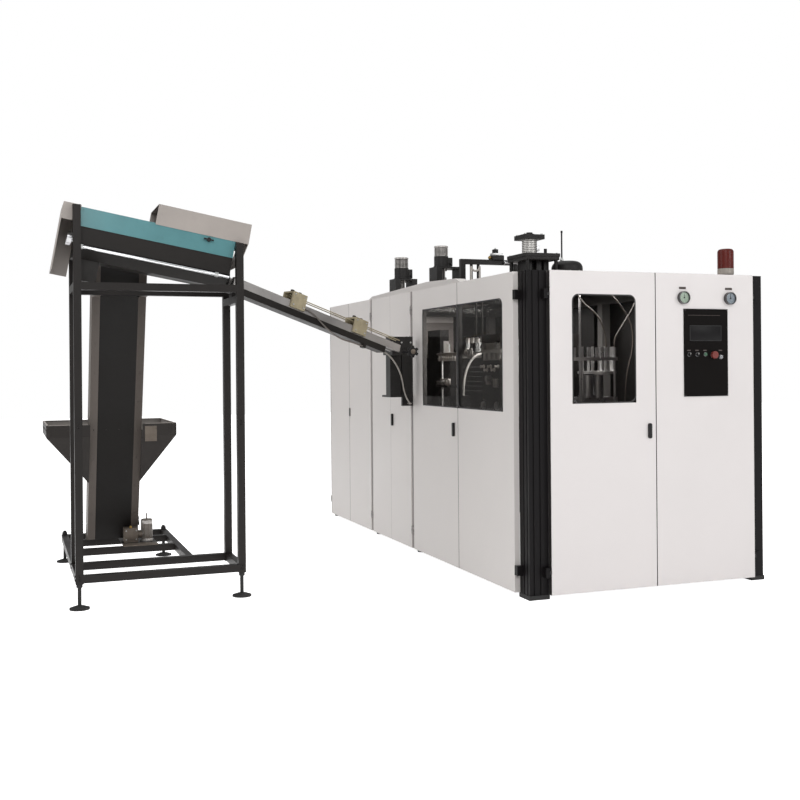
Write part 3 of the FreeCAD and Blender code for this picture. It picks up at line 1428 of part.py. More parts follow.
HALF_OUT = "(elevator_width / 2)"
HALF_IN = "(elevator_width / 2 - elevator_side)"
BELT_MIDDLE = "elevator_depth / 2"
RUN = ("-elevator_below", "elevator_length")
sides = []
for side, x in (("left", "-" + HALF_OUT), ("right", HALF_IN)):
    wall = "side_wall"
    solid = span(side + "_side_solid", (x, x + " + elevator_side"), ("0", "elevator_depth"), RUN)
    hollow = span(side + "_side_hollow", (x + " + side_wall", x + " + elevator_side - side_wall"),
                  ("side_wall", "elevator_depth - side_wall"),
                  ("-elevator_below - 1", "elevator_length - side_wall"))
    shafts = [rod("%s_%s_shaft_bore" % (side, end), x + " - 1", BELT_MIDDLE, end + "_roller_up",
                  "roller_shaft + running", "elevator_side + 2", "X") for end in ("foot", "head")]
    sides.append(cut(side + "_side", solid, hollow, *shafts))
belly = span("belly_plate", ("-" + HALF_IN, HALF_IN), ("0", "belly_sheet"), RUN)


def elevator_space(name, side_gap, near, far):
    """The room that the elevator takes, with a gap beside it."""
    return in_elevator(name, [span(name + "_block", ("-%s - %s" % (HALF_OUT, side_gap),
                                                     "%s + %s" % (HALF_OUT, side_gap)),
                                   (near, far), RUN)])


struts = []
for side, x in (("left", "-%s" % HALF_OUT), ("right", "%s - elevator_side" % HALF_OUT)):
    low_x = "elevator_middle + " + x
    leg = box(side + "_leg_block", low_x, "sill_two - feeder_tube / 2", BASE_TOP, "elevator_side", TUBE,
              "4 * feeder_tube")
    struts.append(cut(side + "_leg", leg, elevator_space(side + "_leg_room", "1", "-elevator_depth",
                                                         "2 * elevator_depth")))
    strut = box(side + "_strut_block", low_x, "frame_far", HIGH_LOW, TUBE, "6 * feeder_tube", TUBE)
    struts.append(cut(side + "_strut", strut, elevator_space(side + "_strut_room", "1", "0",
                                                             "2 * elevator_depth")))
node("elevator_frame", in_elevator("elevator_sides", sides + [belly]), *struts)


def loop(name, low, length, radius):
    """A bar with round ends about both rollers."""
    return fuse(name, [
        span(name + "_middle", (low, "%s + %s" % (low, length)),
             ("%s - (%s)" % (BELT_MIDDLE, radius), "%s + (%s)" % (BELT_MIDDLE, radius)),
             ("foot_roller_up", "head_roller_up")),
        rod(name + "_foot", low, BELT_MIDDLE, "foot_roller_up", radius, length, "X"),
        rod(name + "_head", low, BELT_MIDDLE, "head_roller_up", radius, length, "X")])


BELT_LOW = "(-%s + belt_side)" % HALF_IN
BELT_WIDE = "(2 * %s - 2 * belt_side)" % HALF_IN
band = cut("belt_band", loop("belt_outside", BELT_LOW, BELT_WIDE, "roller_radius + belt_gap + belt_thick"),
           loop("belt_inside", BELT_LOW + " - 1", BELT_WIDE + " + 2", "roller_radius + belt_gap"))
cleats = []
BELT_OUT = "roller_radius + belt_gap + belt_thick"
for order in range(10):
    level = "foot_roller_up + cleat_pitch * (%d + 0.5)" % order
    cleats.append(box("top_cleat_%d" % order, BELT_LOW, "%s + %s - 1" % (BELT_MIDDLE, BELT_OUT), level,
                      BELT_WIDE,
                      "cleat_height + 1", "cleat_thick"))
    cleats.append(box("low_cleat_%d" % order, BELT_LOW, "%s - (%s) - cleat_height" % (BELT_MIDDLE, BELT_OUT),
                      level, BELT_WIDE, "cleat_height + 1", "cleat_thick"))
node("elevator_belt", in_elevator("belt_set", [fuse("belt_body", [band] + cleats)]))

for end in ("head", "foot"):
    drum = rod(end + "_drum", "-%s + roller_side" % HALF_IN, BELT_MIDDLE, end + "_roller_up", "roller_radius",
               "2 * %s - 2 * roller_side" % HALF_IN, "X")
    parts = [drum]
    long = "elevator_width"
    if end == "foot":
        long = "elevator_width + sprocket_out + sprocket_thick"
        parts.append(rod("sprocket", HALF_OUT + " + sprocket_out", BELT_MIDDLE, "foot_roller_up",
                         "sprocket_radius",
                         "sprocket_thick", "X"))
    parts.append(rod(end + "_shaft", "-" + HALF_OUT, BELT_MIDDLE, end + "_roller_up", "roller_shaft",
                     long, "X"))
    node(end + "_roller", in_elevator(end + "_roller_set", [fuse(end + "_roller_body", parts)]))

# ---------------------------------------------------------------------------------------------------------
# Hopper: its walls are slotted round the elevator
# ---------------------------------------------------------------------------------------------------------

def taper(name, inset, low, high):
    """A funnel between the elevator and the hopper lip, drawn in by a wall."""
    piece = doc.addObject("Part::Wedge", name)
    piece.Placement = Placement(Vector(), Rotation(Vector(1, 0, 0), 90))
    bind(piece, "Xmin", "elevator_middle - %s + %s" % (HALF_OUT, inset))
    bind(piece, "Xmax", "elevator_middle + %s - %s" % (HALF_OUT, inset))
    bind(piece, "X2min", "hopper_left + %s" % inset)
    bind(piece, "X2max", "hopper_right - %s" % inset)
    bind(piece, "Ymin", low)
    bind(piece, "Ymax", high)
    bind(piece, "Zmin", "-hopper_bottom_far + %s" % inset)
    bind(piece, "Zmax", "-hopper_bottom_near - %s" % inset)
    bind(piece, "Z2min", "-hopper_far + %s" % inset)
    bind(piece, "Z2max", "-hopper_near - %s" % inset)
    return piece


def bin_shape(name, inset, low, high):
    """The funnel and its upright rim as one solid."""
    rim = span(name + "_rim", ("hopper_left + %s" % inset, "hopper_right - %s" % inset),
               ("hopper_near + %s" % inset, "hopper_far - %s" % inset), ("hopper_lip", high))
    return fuse(name, [taper(name + "_taper", inset, low, "hopper_lip"), rim])


slot = elevator_space("hopper_slot", "0", "-4 * elevator_depth", "elevator_depth + hopper_clear")
node("hopper", cut("hopper_shell", bin_shape("hopper_outside", "0", "hopper_low", "hopper_top"),
                   bin_shape("hopper_inside", "hopper_wall", "hopper_low + hopper_wall", "(hopper_top + 1)"),
                   slot))

# ---------------------------------------------------------------------------------------------------------
# Unscrambler: its own frame starts at the top of the left end, x runs down along the trough
# ---------------------------------------------------------------------------------------------------------

def in_trough(name, parts):
    """Parts given along the trough, set in the row."""
    return turned(name, parts, Vector(0, 1, 0), "trough_tilt", "trough_left", "0", "trough_top")


TROUGH_NEAR = "(trough_near + teal_sheet)"
TROUGH_FAR = "(trough_near + trough_width)"
TROUGH_MIDDLE = "(trough_near + (trough_width + teal_sheet) / 2)"
FLOOR_NEAR = "(%s - trough_floor / 2)" % TROUGH_MIDDLE
FLOOR_FAR = "(%s + trough_floor / 2)" % TROUGH_MIDDLE
outside = outline("trough_outside", "YZ_Plane", [
    (TROUGH_NEAR, "0"), (TROUGH_NEAR, "-trough_side"), (FLOOR_NEAR, "-trough_deep"),
    (FLOOR_FAR, "-trough_deep"),
    (TROUGH_FAR, "-trough_side"), (TROUGH_FAR, "0")], "trough_length")
inside = outline("trough_inside", "YZ_Plane", [
    (TROUGH_NEAR + " + trough_wall", "1"), (TROUGH_NEAR + " + trough_wall", "-trough_side + trough_wall / 2"),
    (FLOOR_NEAR + " + trough_wall / 3", "-trough_deep + trough_wall"),
    (FLOOR_FAR + " - trough_wall / 3", "-trough_deep + trough_wall"),
    (TROUGH_FAR + " - trough_wall", "-trough_side + trough_wall / 2"), (TROUGH_FAR + " - trough_wall", "1")],
    "trough_length - 2 * trough_wall")
inside = place(group("trough_inside_set", [inside]), "trough_wall")
mouth = span("trough_mouth", ("trough_length - trough_wall - 1", "trough_length + 1"),
             (TROUGH_NEAR + " + trough_wall", TROUGH_FAR + " - trough_wall"), ("-end_low", "1"))
ROLLERS = {"near": "(%s - sort_radius - sort_gap / 2)" % TROUGH_MIDDLE,
           "far": "(%s + sort_radius + sort_gap / 2)" % TROUGH_MIDDLE}
shaft_bores = [rod(side + "_sort_bore", "-1", y, "-sort_down", "sort_shaft + running",
                   "trough_length + 2", "X")
               for side, y in ROLLERS.items()]
knob_bore = rod("knob_bore", "knob_along", "trough_near - 1", "-knob_down", "knob_shaft + running",
                "teal_sheet + trough_wall + 2", "Y")
GUIDE = (TROUGH_NEAR + " + guide_out", "-guide_down")
guide = [rod("guide_rod", "trough_wall", GUIDE[0], GUIDE[1], "guide_radius",
             "trough_length - 2 * trough_wall",
             "X")]
for order, part in enumerate(("0.06", "0.5", "0.94")):
    guide.append(box("guide_lug_%d" % order, "trough_length * %s - guide_radius" % part, TROUGH_NEAR,
                     GUIDE[1],
                     "2 * guide_radius", "2 * guide_radius", "guide_down - trough_side + guide_radius"))
shell = fuse("trough_shell", [cut("trough_hollow", outside, inside, mouth)] + guide)
node("trough_body", in_trough("trough_set", [cut("trough_bored", shell, knob_bore, *shaft_bores)]))

teal = span("teal_plate", ("0", "trough_length"), ("trough_near", TROUGH_NEAR), ("-teal_height", "0"))
knob_hole = rod("knob_hole", "knob_along", "trough_near - 1", "-knob_down", "knob_shaft + running",
                "teal_sheet + 2", "Y")
node("trough_panel", in_trough("teal_set", [cut("teal_bored", teal, knob_hole)]))

for side, y in ROLLERS.items():
    roller = [
        rod(side + "_sort_drum", "trough_wall + 2", y, "-sort_down", "sort_radius",
            "trough_length - 2 * trough_wall - 4", "X"),
        rod(side + "_sort_shaft", "-pulley_out - pulley_thick", y, "-sort_down", "sort_shaft",
            "trough_length + pulley_out + pulley_thick", "X"),
        rod(side + "_sort_pulley", "-pulley_out - pulley_thick", y, "-sort_down", "pulley_radius",
            "pulley_thick", "X"),
    ]
    node("sorting_roller_" + side, in_trough(side + "_sort_set", [fuse(side + "_sort_body", roller)]))

cover = [
    span("cover_end", ("-cover_out", "-cover_out + cover_sheet"), (TROUGH_NEAR, TROUGH_FAR),
         ("-cover_down", "cover_up")),
    span("cover_top", ("-cover_out", "0"), (TROUGH_NEAR, TROUGH_FAR), ("cover_up - cover_sheet", "cover_up")),
    span("cover_far", ("-cover_out", "0"), (TROUGH_FAR + " - cover_sheet", TROUGH_FAR),
         ("-cover_down", "cover_up")),
    span("cover_near", ("-cover_out", "0"), (TROUGH_NEAR, TROUGH_NEAR + " + cover_sheet"),
         ("-cover_flange", "cover_up")),
]
node("drive_end_cover", in_trough("cover_set", [fuse("cover_body", cover)]))

HOOD_NEAR = "(trough_near - hood_sheet)"
HOOD_FAR = "(%s + hood_sheet)" % TROUGH_FAR
hood = [
    span("hood_near", ("hood_start", "hood_end"), (HOOD_NEAR, "trough_near"), ("-hood_lap", "hood_up")),
    span("hood_far", ("hood_start", "hood_end"), (TROUGH_FAR, HOOD_FAR), ("-hood_lap", "hood_up")),
    span("hood_top", ("hood_start", "hood_end"), (HOOD_NEAR, HOOD_FAR), ("hood_up - hood_sheet", "hood_up")),
    span("hood_end_plate", ("hood_end - hood_sheet", "hood_end"), (HOOD_NEAR, HOOD_FAR),
         ("-hood_lap", "hood_up")),
]
flap = outline("hood_flap_plate", "XZ_Plane", [
    ("hood_end - hood_sheet", "-hood_lap + 1"), ("hood_end", "-hood_lap + 1"), ("hood_end", "-hood_lap"),
    ("hood_end - hood_in", "-hood_flap"), ("hood_end - hood_in - hood_sheet", "-hood_flap"),
    ("hood_end - hood_sheet", "-hood_lap")], "%s - %s" % (TROUGH_FAR, TROUGH_NEAR))
hood.append(place(group("hood_flap_set", [flap]), "0", TROUGH_FAR))
node("outlet_hood", in_trough("hood_set", [fuse("hood_body", hood)]))

KNOB_FACE = "(trough_near - rest_gap)"
knob = [
    rod("knob_body", "knob_along", KNOB_FACE + " - knob_out", "-knob_down", "knob_radius", "knob_out", "Y"),
    box("knob_wings", "knob_along - knob_wing", KNOB_FACE + " - knob_out", "-knob_down - knob_thick / 2",
        "2 * knob_wing", "knob_out / 2", "knob_thick"),
    rod("knob_spindle", "knob_along", KNOB_FACE + " - 1", "-knob_down", "knob_shaft",
        "teal_sheet + trough_wall + rest_gap + 8", "Y"),
]
node("wing_knob", in_trough("knob_set", [fuse("knob_solid", knob)]))

# ---------------------------------------------------------------------------------------------------------
# Feeder motors: gearbox and motor beside the foot of the elevator, drive motor under the trough
# ---------------------------------------------------------------------------------------------------------

PLATE_TOP = "(base_low + feeder_tube + drive_plate)"
SILL_NEAR = "(sill_one - feeder_tube / 2)"
LEG_RIGHT = "(elevator_middle + elevator_width / 2)"
gear_unit = [
    span("drive_plate_near", ("drive_plate_left", "drive_plate_right"), (SILL_NEAR, "drive_plate_far"),
         (BASE_TOP, PLATE_TOP)),
    span("drive_plate_rear", (LEG_RIGHT + " + head_room / 10", "drive_plate_right"),
         ("drive_plate_far - 1", "sill_two + feeder_tube / 2"), (BASE_TOP, PLATE_TOP)),
    box("gear_case", "gearbox_left", "gearbox_near", PLATE_TOP + " - 1", "gearbox", "gearbox_depth",
        "gearbox_height + 1"),
    rod("gear_neck", "gearbox_left + gearbox - 1", "foot_motor_in", PLATE_TOP + " + gearbox_height / 2",
        "0.7 * foot_motor_radius", "foot_motor_across - gearbox_left - gearbox + 1", "X"),
    rod("foot_motor", "foot_motor_across", "foot_motor_in", PLATE_TOP + " - 1", "foot_motor_radius",
        "foot_motor_height + 1"),
    rod("lift_rod_bar", "foot_motor_across", "foot_motor_in", PLATE_TOP + " + foot_motor_height - 1",
        "lift_rod",
        "lift_rod_height + 1"),
]
drive_case = span("drive_case", ("drive_left", "drive_right"), (FLOOR_NEAR, FLOOR_NEAR + " + drive_width"),
                  ("-trough_deep - drive_height", "-trough_deep"))
node("elevator_motor", fuse("gear_body", gear_unit), in_trough("drive_set", [drive_case]))

# ---------------------------------------------------------------------------------------------------------
# Chute
# ---------------------------------------------------------------------------------------------------------

rails = []
for side, y in (("near", "-" + RAIL_OUT), ("far", "rail_gap / 2")):
    outside = span(side + "_rail_outside", ("-chute_before", "chute_length"), (y, y + " + rail_width"),
                   ("-rail_height", "0"))
    inside = span(side + "_rail_inside", ("-chute_before - 1", "chute_length + 1"),
                  (y + " + rail_sheet", y + " + rail_width - rail_sheet"),
                  ("-rail_height + rail_sheet", "-rail_sheet"))
    rails.append(cut(side + "_rail", outside, inside))
node("chute_rails", in_chute("rails_set", rails))

CHANNEL_END = "(chute_length - channel_short)"
CHANNEL_LOW = "(-rail_height - channel_height)"
outside = span("channel_outside", ("-chute_before", CHANNEL_END), ("-" + RAIL_OUT, RAIL_OUT),
               (CHANNEL_LOW, "-rail_height"))
inside = span("channel_inside", ("-chute_before - 1", CHANNEL_END + " - rail_sheet"),
              ("-%s + rail_sheet" % RAIL_OUT, RAIL_OUT + " - rail_sheet"),
              (CHANNEL_LOW + " + rail_sheet", "-rail_height + 1"))
gland = box("channel_gland", "gland_at", "-%s - clamp_side" % RAIL_OUT, CHANNEL_LOW + " - gland_height",
            "gland_length", "gland_width + clamp_side", "gland_height + 1")
node("chute_channel", in_chute("channel_set", [fuse("channel_body", [cut("channel_cut", outside, inside),
                                                                    gland])]))

clamps = []
for name in ("one", "two"):
    start = "clamp_" + name
    ends = (start, start + " + clamp_length")
    outside = span(start + "_outside", ends, ("-%s - clamp_side" % RAIL_OUT, RAIL_OUT + " + clamp_side"),
                   ("-clamp_below", "clamp_above"))
    inside = span(start + "_inside", (start + " - 1", start + " + clamp_length + 1"),
                  ("-" + RAIL_OUT, RAIL_OUT),
                  ("-clamp_below - 1", "clamp_above - clamp_roof"))
    hangers = [box("%s_hanger_%s" % (start, side), start + " + clamp_length / 2 - wire_radius",
                   "%s - wire_radius" % y, "wire_up", "2 * wire_radius", "2 * wire_radius",
                   "clamp_above - clamp_roof - wire_up + 1") for side, y in (("near", "-wire_side"),
                                                                            ("far", "wire_side"))]
    clamps += [cut(start + "_arch", outside, inside)] + hangers
for side, y in (("near", "-wire_side"), ("far", "wire_side")):
    clamps.append(rod(side + "_wire", "clamp_one", y, "wire_up", "wire_radius",
                      "chute_length - clamp_one", "X"))
node("chute_clamps", in_chute("clamps_set", [fuse("clamps_body", clamps)]))

# ---------------------------------------------------------------------------------------------------------
# Infeed unit and star wheel
# ---------------------------------------------------------------------------------------------------------

INFEED_FAR = "(infeed_near + infeed_depth)"
INFEED_MIDDLE = "((infeed_left + infeed_right) / 2)"
MULLION_FACE = "(%s - mullion_depth)" % FRAME
infeed = [
    span("infeed_cap_block", ("infeed_left", "infeed_right"), ("infeed_near", INFEED_FAR),
         ("infeed_cap", "infeed_high")),
    span("infeed_flange_plate", ("infeed_left", "infeed_right"),
         ("infeed_near", "first_mullion + arm_width / 2"),
         ("infeed_low - infeed_flange", "infeed_low")),
    span("infeed_arm", ("infeed_right - arm_width", MULLION_FACE),
         ("first_mullion - arm_width / 2", "first_mullion + arm_width / 2"), ("arm_low", "infeed_low")),
]
for side, wide in (("left", ("infeed_left", INFEED_MIDDLE + " - column_gap / 2")),
                   ("right", (INFEED_MIDDLE + " + column_gap / 2", "infeed_right"))):
    infeed.append(span(side + "_column", wide, ("infeed_near + fin_depth", INFEED_FAR),
                       ("infeed_low - 1", "infeed_cap + 1")))
    for order in range(15):
        low = "infeed_low + fin_pitch * (%d + 0.5)" % order
        infeed.append(span("%s_fin_%d" % (side, order), wide, ("infeed_near", "infeed_near + fin_depth + 1"),
                           (low, low + " + fin_width")))
star_bore = rod("star_bore", "star_across", "infeed_near - 1", "star_up", "star_shaft + running",
                "infeed_depth - 10", "Y")
shelf = span("shelf_block", ("shelf_left", "shelf_right"), ("shelf_near", "infeed_near + fin_depth + 1"),
             ("shelf_low", "shelf_top"))
end_space = in_chute("chute_end_space", [
    span("end_space", ("0", "chute_length + rest_gap"), ("-%s - rest_gap" % RAIL_OUT,
                                                         RAIL_OUT + " + rest_gap"),
         ("-rail_height", "4 * rail_height"))])
node("infeed_unit", cut("infeed_bored", fuse("infeed_body", infeed + [cut("shelf_cut", shelf, end_space)]),
                        star_bore))

disc = rod("star_disc", "star_across", "star_near", "star_up", "star_radius", "star_thick", "Y")
pockets = []
for order in range(6):
    angle = "%d" % (60 * order)
    pockets.append(rod("star_pocket_%d" % order, "star_across + star_radius * cos(%s)" % angle,
                       "star_near - 1",
                       "star_up + star_radius * sin(%s)" % angle, "star_pocket", "star_thick + 2", "Y"))
star_axle = rod("star_axle", "star_across", "star_near + 1", "star_up", "star_shaft",
                "infeed_near - star_near + infeed_depth - 20", "Y")
node("star_wheel", fuse("star_body", [cut("star_cut", disc, *pockets), star_axle]))

# ---------------------------------------------------------------------------------------------------------
# Levelling feet
# ---------------------------------------------------------------------------------------------------------

feet = [
    box("left_post_pad", FACE + " - pad_rim", FACE + " - pad_rim", "0", "corner_post + 2 * pad_rim",
        "corner_post + 2 * pad_rim", "floor_gap"),
    box("right_post_pad", RIGHT_POST + " - pad_rim", FACE + " - pad_rim", "0", "right_post + 2 * pad_rim",
        "right_post + 2 * pad_rim", "floor_gap"),
]
for side, x in (("left", FRAME), ("right", RIGHT_IN)):
    for name in ("first", "second", "third"):
        middle = (x + " + beam / 2", name + "_mullion - 15")
        feet.append(fuse("%s_%s_foot" % (side, name), [
            rod("%s_%s_disc" % (side, name), *middle, "0", "pad_radius", "pad_height"),
            rod("%s_%s_stem" % (side, name), *middle, "pad_height - 1", "stem_radius",
                "floor_gap - pad_height + 1")]))
FOOT_PLATES = "(base_low - foot_plate)"
for name, x, y in (("near_left", "frame_left + feeder_tube / 2", "frame_near + feeder_tube / 2"),
                   ("near_right", "frame_right - feeder_tube / 2", "frame_near + feeder_tube / 2"),
                   ("rear_left", "frame_left + feeder_tube / 2", "frame_rear - feeder_tube / 2"),
                   ("rear_right", "bay_right - feeder_tube / 2", "frame_rear - feeder_tube / 2")):
    rear = name.startswith("rear")
    top = BASE_TOP + " + 1.5 * foot_nut_height" if rear else FOOT_PLATES
    under = "base_low" if rear else FOOT_PLATES
    parts = [
        rod(name + "_disc", x, y, "0", "foot_pad", "foot_pad_height / 2"),
        cone(name + "_slope", x, y, "foot_pad_height / 2", "foot_pad", "foot_pad / 2", "foot_pad_height / 2"),
        rod(name + "_stem", x, y, "foot_pad_height - 1", "foot_stem", "%s - foot_pad_height + 1" % top),
        rod(name + "_low_nut", x, y, under + " - foot_nut_height", "foot_nut", "foot_nut_height"),
    ]
    if rear:
        parts.append(rod(name + "_top_nut", x, y, BASE_TOP, "foot_nut", "foot_nut_height"))
    feet.append(fuse(name + "_feeder_foot", parts))
node("levelling_feet", *feet)

# ---------------------------------------------------------------------------------------------------------
# Hoses: straight runs joined by tangent arcs
# ---------------------------------------------------------------------------------------------------------

def hose_path(points):
    """The centre line through a list of points, with each corner rounded by a tangent arc."""
    edges = []
    start = points[0]
    for before, corner, after in zip(points, points[1:], points[2:]):
        inward = (before - corner).normalize()
        onward = (after - corner).normalize()
        half_turn = (math.pi - inward.getAngle(onward)) / 2
        shorter = min(before.distanceToPoint(corner), after.distanceToPoint(corner))
        radius = 0.45 * shorter / math.tan(half_turn)
        back = 0.45 * shorter
        middle = (inward + onward).normalize() * (radius / math.cos(half_turn) - radius)
        first = corner + inward * back
        last = corner + onward * back
        edges.append(Part.LineSegment(start, first).toShape())
        edges.append(Part.Arc(first, corner + middle, last).toShape())
        print("arc radius %.0f" % radius)
        start = last
    edges.append(Part.LineSegment(start, points[-1]).toShape())
    return Part.Wire(edges)


def hose(name, points, radius):
    """A solid hose swept along its path; its volume is compared with section times length."""
    path = hose_path(points)
    first_run = points[1] - points[0]
    section = Part.Wire([Part.makeCircle(radius, points[0], first_run)])
    piece = doc.addObject("Part::Feature", name)
    piece.Shape = path.makePipeShell([section], True, True)
    expected = math.pi * radius * radius * path.Length
    print("%s: length %.0f, volume ratio %.4f" % (name, path.Length, piece.Shape.Volume / expected))
    return piece


def from_chute(x, y, z):
    """A point given along the chute, across it and above the top of its rails."""
    slope = Rotation(Vector(0, 1, 0), size("chute_slope"))
    turn = Rotation(Vector(0, 0, 1), size("chute_turn"))
    start = Vector(size("chute_across"), size("chute_in"), size("chute_up"))
    return start + turn.multVec(slope.multVec(Vector(x, y, z)))


wide = 2 * size("hose_radius")
beside = -(size("rail_gap") / 2 + size("rail_width") + size("clamp_side") / 2)
clamp_end = size("clamp_one") + size("clamp_length")
gland_face = size("gland_at")
long_hose = hose("long_hose", [
    from_chute(clamp_end, beside, -2.17 * wide),
    from_chute(clamp_end + 6.67 * wide, beside, -2.17 * wide),
    from_chute(clamp_end + 18.33 * wide, beside, -8.17 * wide),
    from_chute(clamp_end + 31.67 * wide, beside, -11.67 * wide),
    from_chute(gland_face - 7.08 * wide, beside, -10.5 * wide),
    from_chute(gland_face, beside, -10.5 * wide),
], size("hose_radius"))

channel_end = size("chute_length") - size("channel_short")
mullion_middle = size("first_mullion")
arm_side = mullion_middle - size("arm_width") / 2
left, shelf_edge, flange = size("infeed_left"), size("shelf_near"), size("infeed_low")
lower_hose = hose("lower_hose", [
    from_chute(channel_end, 0, -7.5 * wide),
    from_chute(channel_end + 6.67 * wide, 0, -7.5 * wide),
    Vector(left, shelf_edge + 4.58 * wide, flange + 20.42 * wide),
    Vector(left + 5.83 * wide, shelf_edge + 10.83 * wide, flange + 11.67 * wide),
    Vector(size("star_across"), shelf_edge + 15.58 * wide, flange + 1.67 * wide),
    Vector(left + 14.17 * wide, shelf_edge + 19.17 * wide, flange - 5.67 * wide),
    Vector(left + 18.33 * wide, shelf_edge + 25.42 * wide, flange - 6.25 * wide),
    Vector(left + 18.33 * wide, arm_side, flange - 6.25 * wide),
], size("hose_radius"))

post_middle = size("hose_post_in") + size("hose_post_width") / 2
post_across = size("corner_post") / 2 + 5 + size("hose_post_width") / 2
block_face = size("hose_block_left")
rail, thick = size("chain_low"), 2 * size("inner_hose_radius")
inner_hose = hose("inner_hose", [
    Vector(block_face, post_middle, rail + 1.39 * thick),
    Vector(block_face - 4.44 * thick, post_middle, rail + 1.39 * thick),
    Vector(block_face - 9.44 * thick, post_middle, rail - 2.22 * thick),
    Vector(post_across, post_middle, size("hose_post_top") + 6.39 * thick),
    Vector(post_across, post_middle, size("hose_post_top")),
], size("inner_hose_radius"))
middle = size("manifold_in")
low = size("cabinet_height") - 5 - size("rest_gap") - size("ceiling_thick")
top = size("deck_top") + size("manifold_rise") + size("manifold_thick") + size("fitting_height")
slim = 2 * size("thin_hose_radius")
bar_start = size("manifold_left")
bar_long = size("manifold_right") - bar_start
near_fitting = bar_start + 0.755 * bar_long
end_fitting = bar_start + 0.95 * bar_long
foot_across = size("hose_foot_across")
first_arc = hose("first_arc_hose", [
    Vector(bar_start + 2 * slim, middle, low),
    Vector(bar_start + 2 * slim, middle, low - 5 * slim),
    Vector(bar_start + 8 * slim, middle, low - 14 * slim),
    Vector(near_fitting - 7 * slim, middle, low - 22 * slim),
    Vector(near_fitting - slim, middle, top + 12 * slim),
    Vector(near_fitting, middle, top + 6 * slim),
    Vector(near_fitting, middle, top),
], size("thin_hose_radius"))
second_arc = hose("second_arc_hose", [
    Vector(foot_across - 13 * slim, middle, low),
    Vector(foot_across - 13 * slim, middle, low - 6 * slim),
    Vector(foot_across - 4 * slim, middle, low - 14 * slim),
    Vector(foot_across + 6 * slim, middle, low - 27 * slim),
    Vector(foot_across + 8 * slim, middle, low - 45 * slim),
    Vector(foot_across + 2 * slim, middle, low - 63 * slim),
    Vector(foot_across, middle, size("deck_top") + size("hose_foot_height") + 12 * slim),
    Vector(foot_across, middle, size("deck_top") + size("hose_foot_height")),
], size("thin_hose_radius"))
third_arc = hose("third_arc_hose", [
    Vector(foot_across + 9 * slim, middle - 4.2 * slim, low),
    Vector(foot_across + 9 * slim, middle - 4.2 * slim, low - 5 * slim),
    Vector(foot_across + 6 * slim, middle - 4.2 * slim, low - 16 * slim),
    Vector(foot_across - 2 * slim, middle - 3.2 * slim, low - 28 * slim),
    Vector(end_fitting + slim, middle - slim, low - 37 * slim),
    Vector(end_fitting, middle, top + 5 * slim),
    Vector(end_fitting, middle, top),
], size("thin_hose_radius"))
node("air_hoses", long_hose, lower_hose, inner_hose, first_arc, second_arc, third_arc)

# ---------------------------------------------------------------------------------------------------------
# Checks and export
# ---------------------------------------------------------------------------------------------------------

doc.recompute()
faults = []
for item in doc.Objects:
    if "Invalid" in item.State or "Error" in item.State:
        faults.append("%s: %s" % (item.Name, item.State))
for piece in sub_parts:
    if piece.Shape.isNull() or not piece.Shape.isValid() or not piece.Shape.Solids:
        faults.append("%s: bad shape" % piece.Label)
if len({piece.Label for piece in sub_parts}) != len(sub_parts):
    faults.append("two sub-parts share a label")
if faults:
    raise RuntimeError("\n".join(faults))

os.makedirs("parts", exist_ok=True)
for piece in sub_parts:
    piece.Shape.exportStep("parts/%s.step" % piece.Label)
    print("%s: %d solids" % (piece.Label, len(piece.Shape.Solids)))
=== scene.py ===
"""Looks of the blow moulding machine: its finishes, small parts, hoses, light and camera.

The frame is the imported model's, in metres: the origin is on the floor under the front left corner post, +X
runs along the front, +Y runs back along the side with the chute and +Z is up. The modelling tools take
millimetres of that frame, which MM turns into metres; hoses, lamps and the camera are placed in metres.
"""
import json
import logging
import math
from dataclasses import dataclass, replace
from enum import Enum
from typing import Any, Callable, Iterable, Optional, Sequence

import bmesh
import bpy
from mathutils import Matrix, Vector

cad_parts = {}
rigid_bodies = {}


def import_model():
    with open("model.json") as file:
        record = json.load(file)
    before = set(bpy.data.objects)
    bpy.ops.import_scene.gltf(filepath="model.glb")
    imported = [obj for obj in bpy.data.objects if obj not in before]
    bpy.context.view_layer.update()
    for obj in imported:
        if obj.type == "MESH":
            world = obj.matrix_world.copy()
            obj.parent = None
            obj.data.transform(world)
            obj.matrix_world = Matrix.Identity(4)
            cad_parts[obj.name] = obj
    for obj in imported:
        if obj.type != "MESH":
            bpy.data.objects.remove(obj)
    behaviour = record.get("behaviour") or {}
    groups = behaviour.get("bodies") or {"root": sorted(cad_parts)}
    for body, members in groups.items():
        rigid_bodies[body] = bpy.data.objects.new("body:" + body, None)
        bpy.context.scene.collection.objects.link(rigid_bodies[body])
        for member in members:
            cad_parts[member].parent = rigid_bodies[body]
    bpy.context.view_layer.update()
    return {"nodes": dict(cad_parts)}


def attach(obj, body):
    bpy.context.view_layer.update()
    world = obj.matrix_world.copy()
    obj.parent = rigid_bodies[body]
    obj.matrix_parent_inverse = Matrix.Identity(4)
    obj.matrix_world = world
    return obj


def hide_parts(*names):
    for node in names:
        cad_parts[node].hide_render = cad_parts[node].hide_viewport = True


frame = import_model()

logging.basicConfig(level=logging.INFO, format="%(name)s: %(message)s")
log = logging.getLogger("machine")

Point = tuple[float, float, float]
Piece = bpy.types.Object
MM = 0.001
UP, FRONT, LEFT, DEEP = (0.0, 0.0, 1.0), (0.0, -1.0, 0.0), (-1.0, 0.0, 0.0), (0.0, 1.0, 0.0)
DOWN, RIGHT = (0.0, 0.0, -1.0), (1.0, 0.0, 0.0)
SHARP = 0.6  # radians; edges flatter than this are smooth
MERGE = 1e-6  # metres; corners nearer than this are one

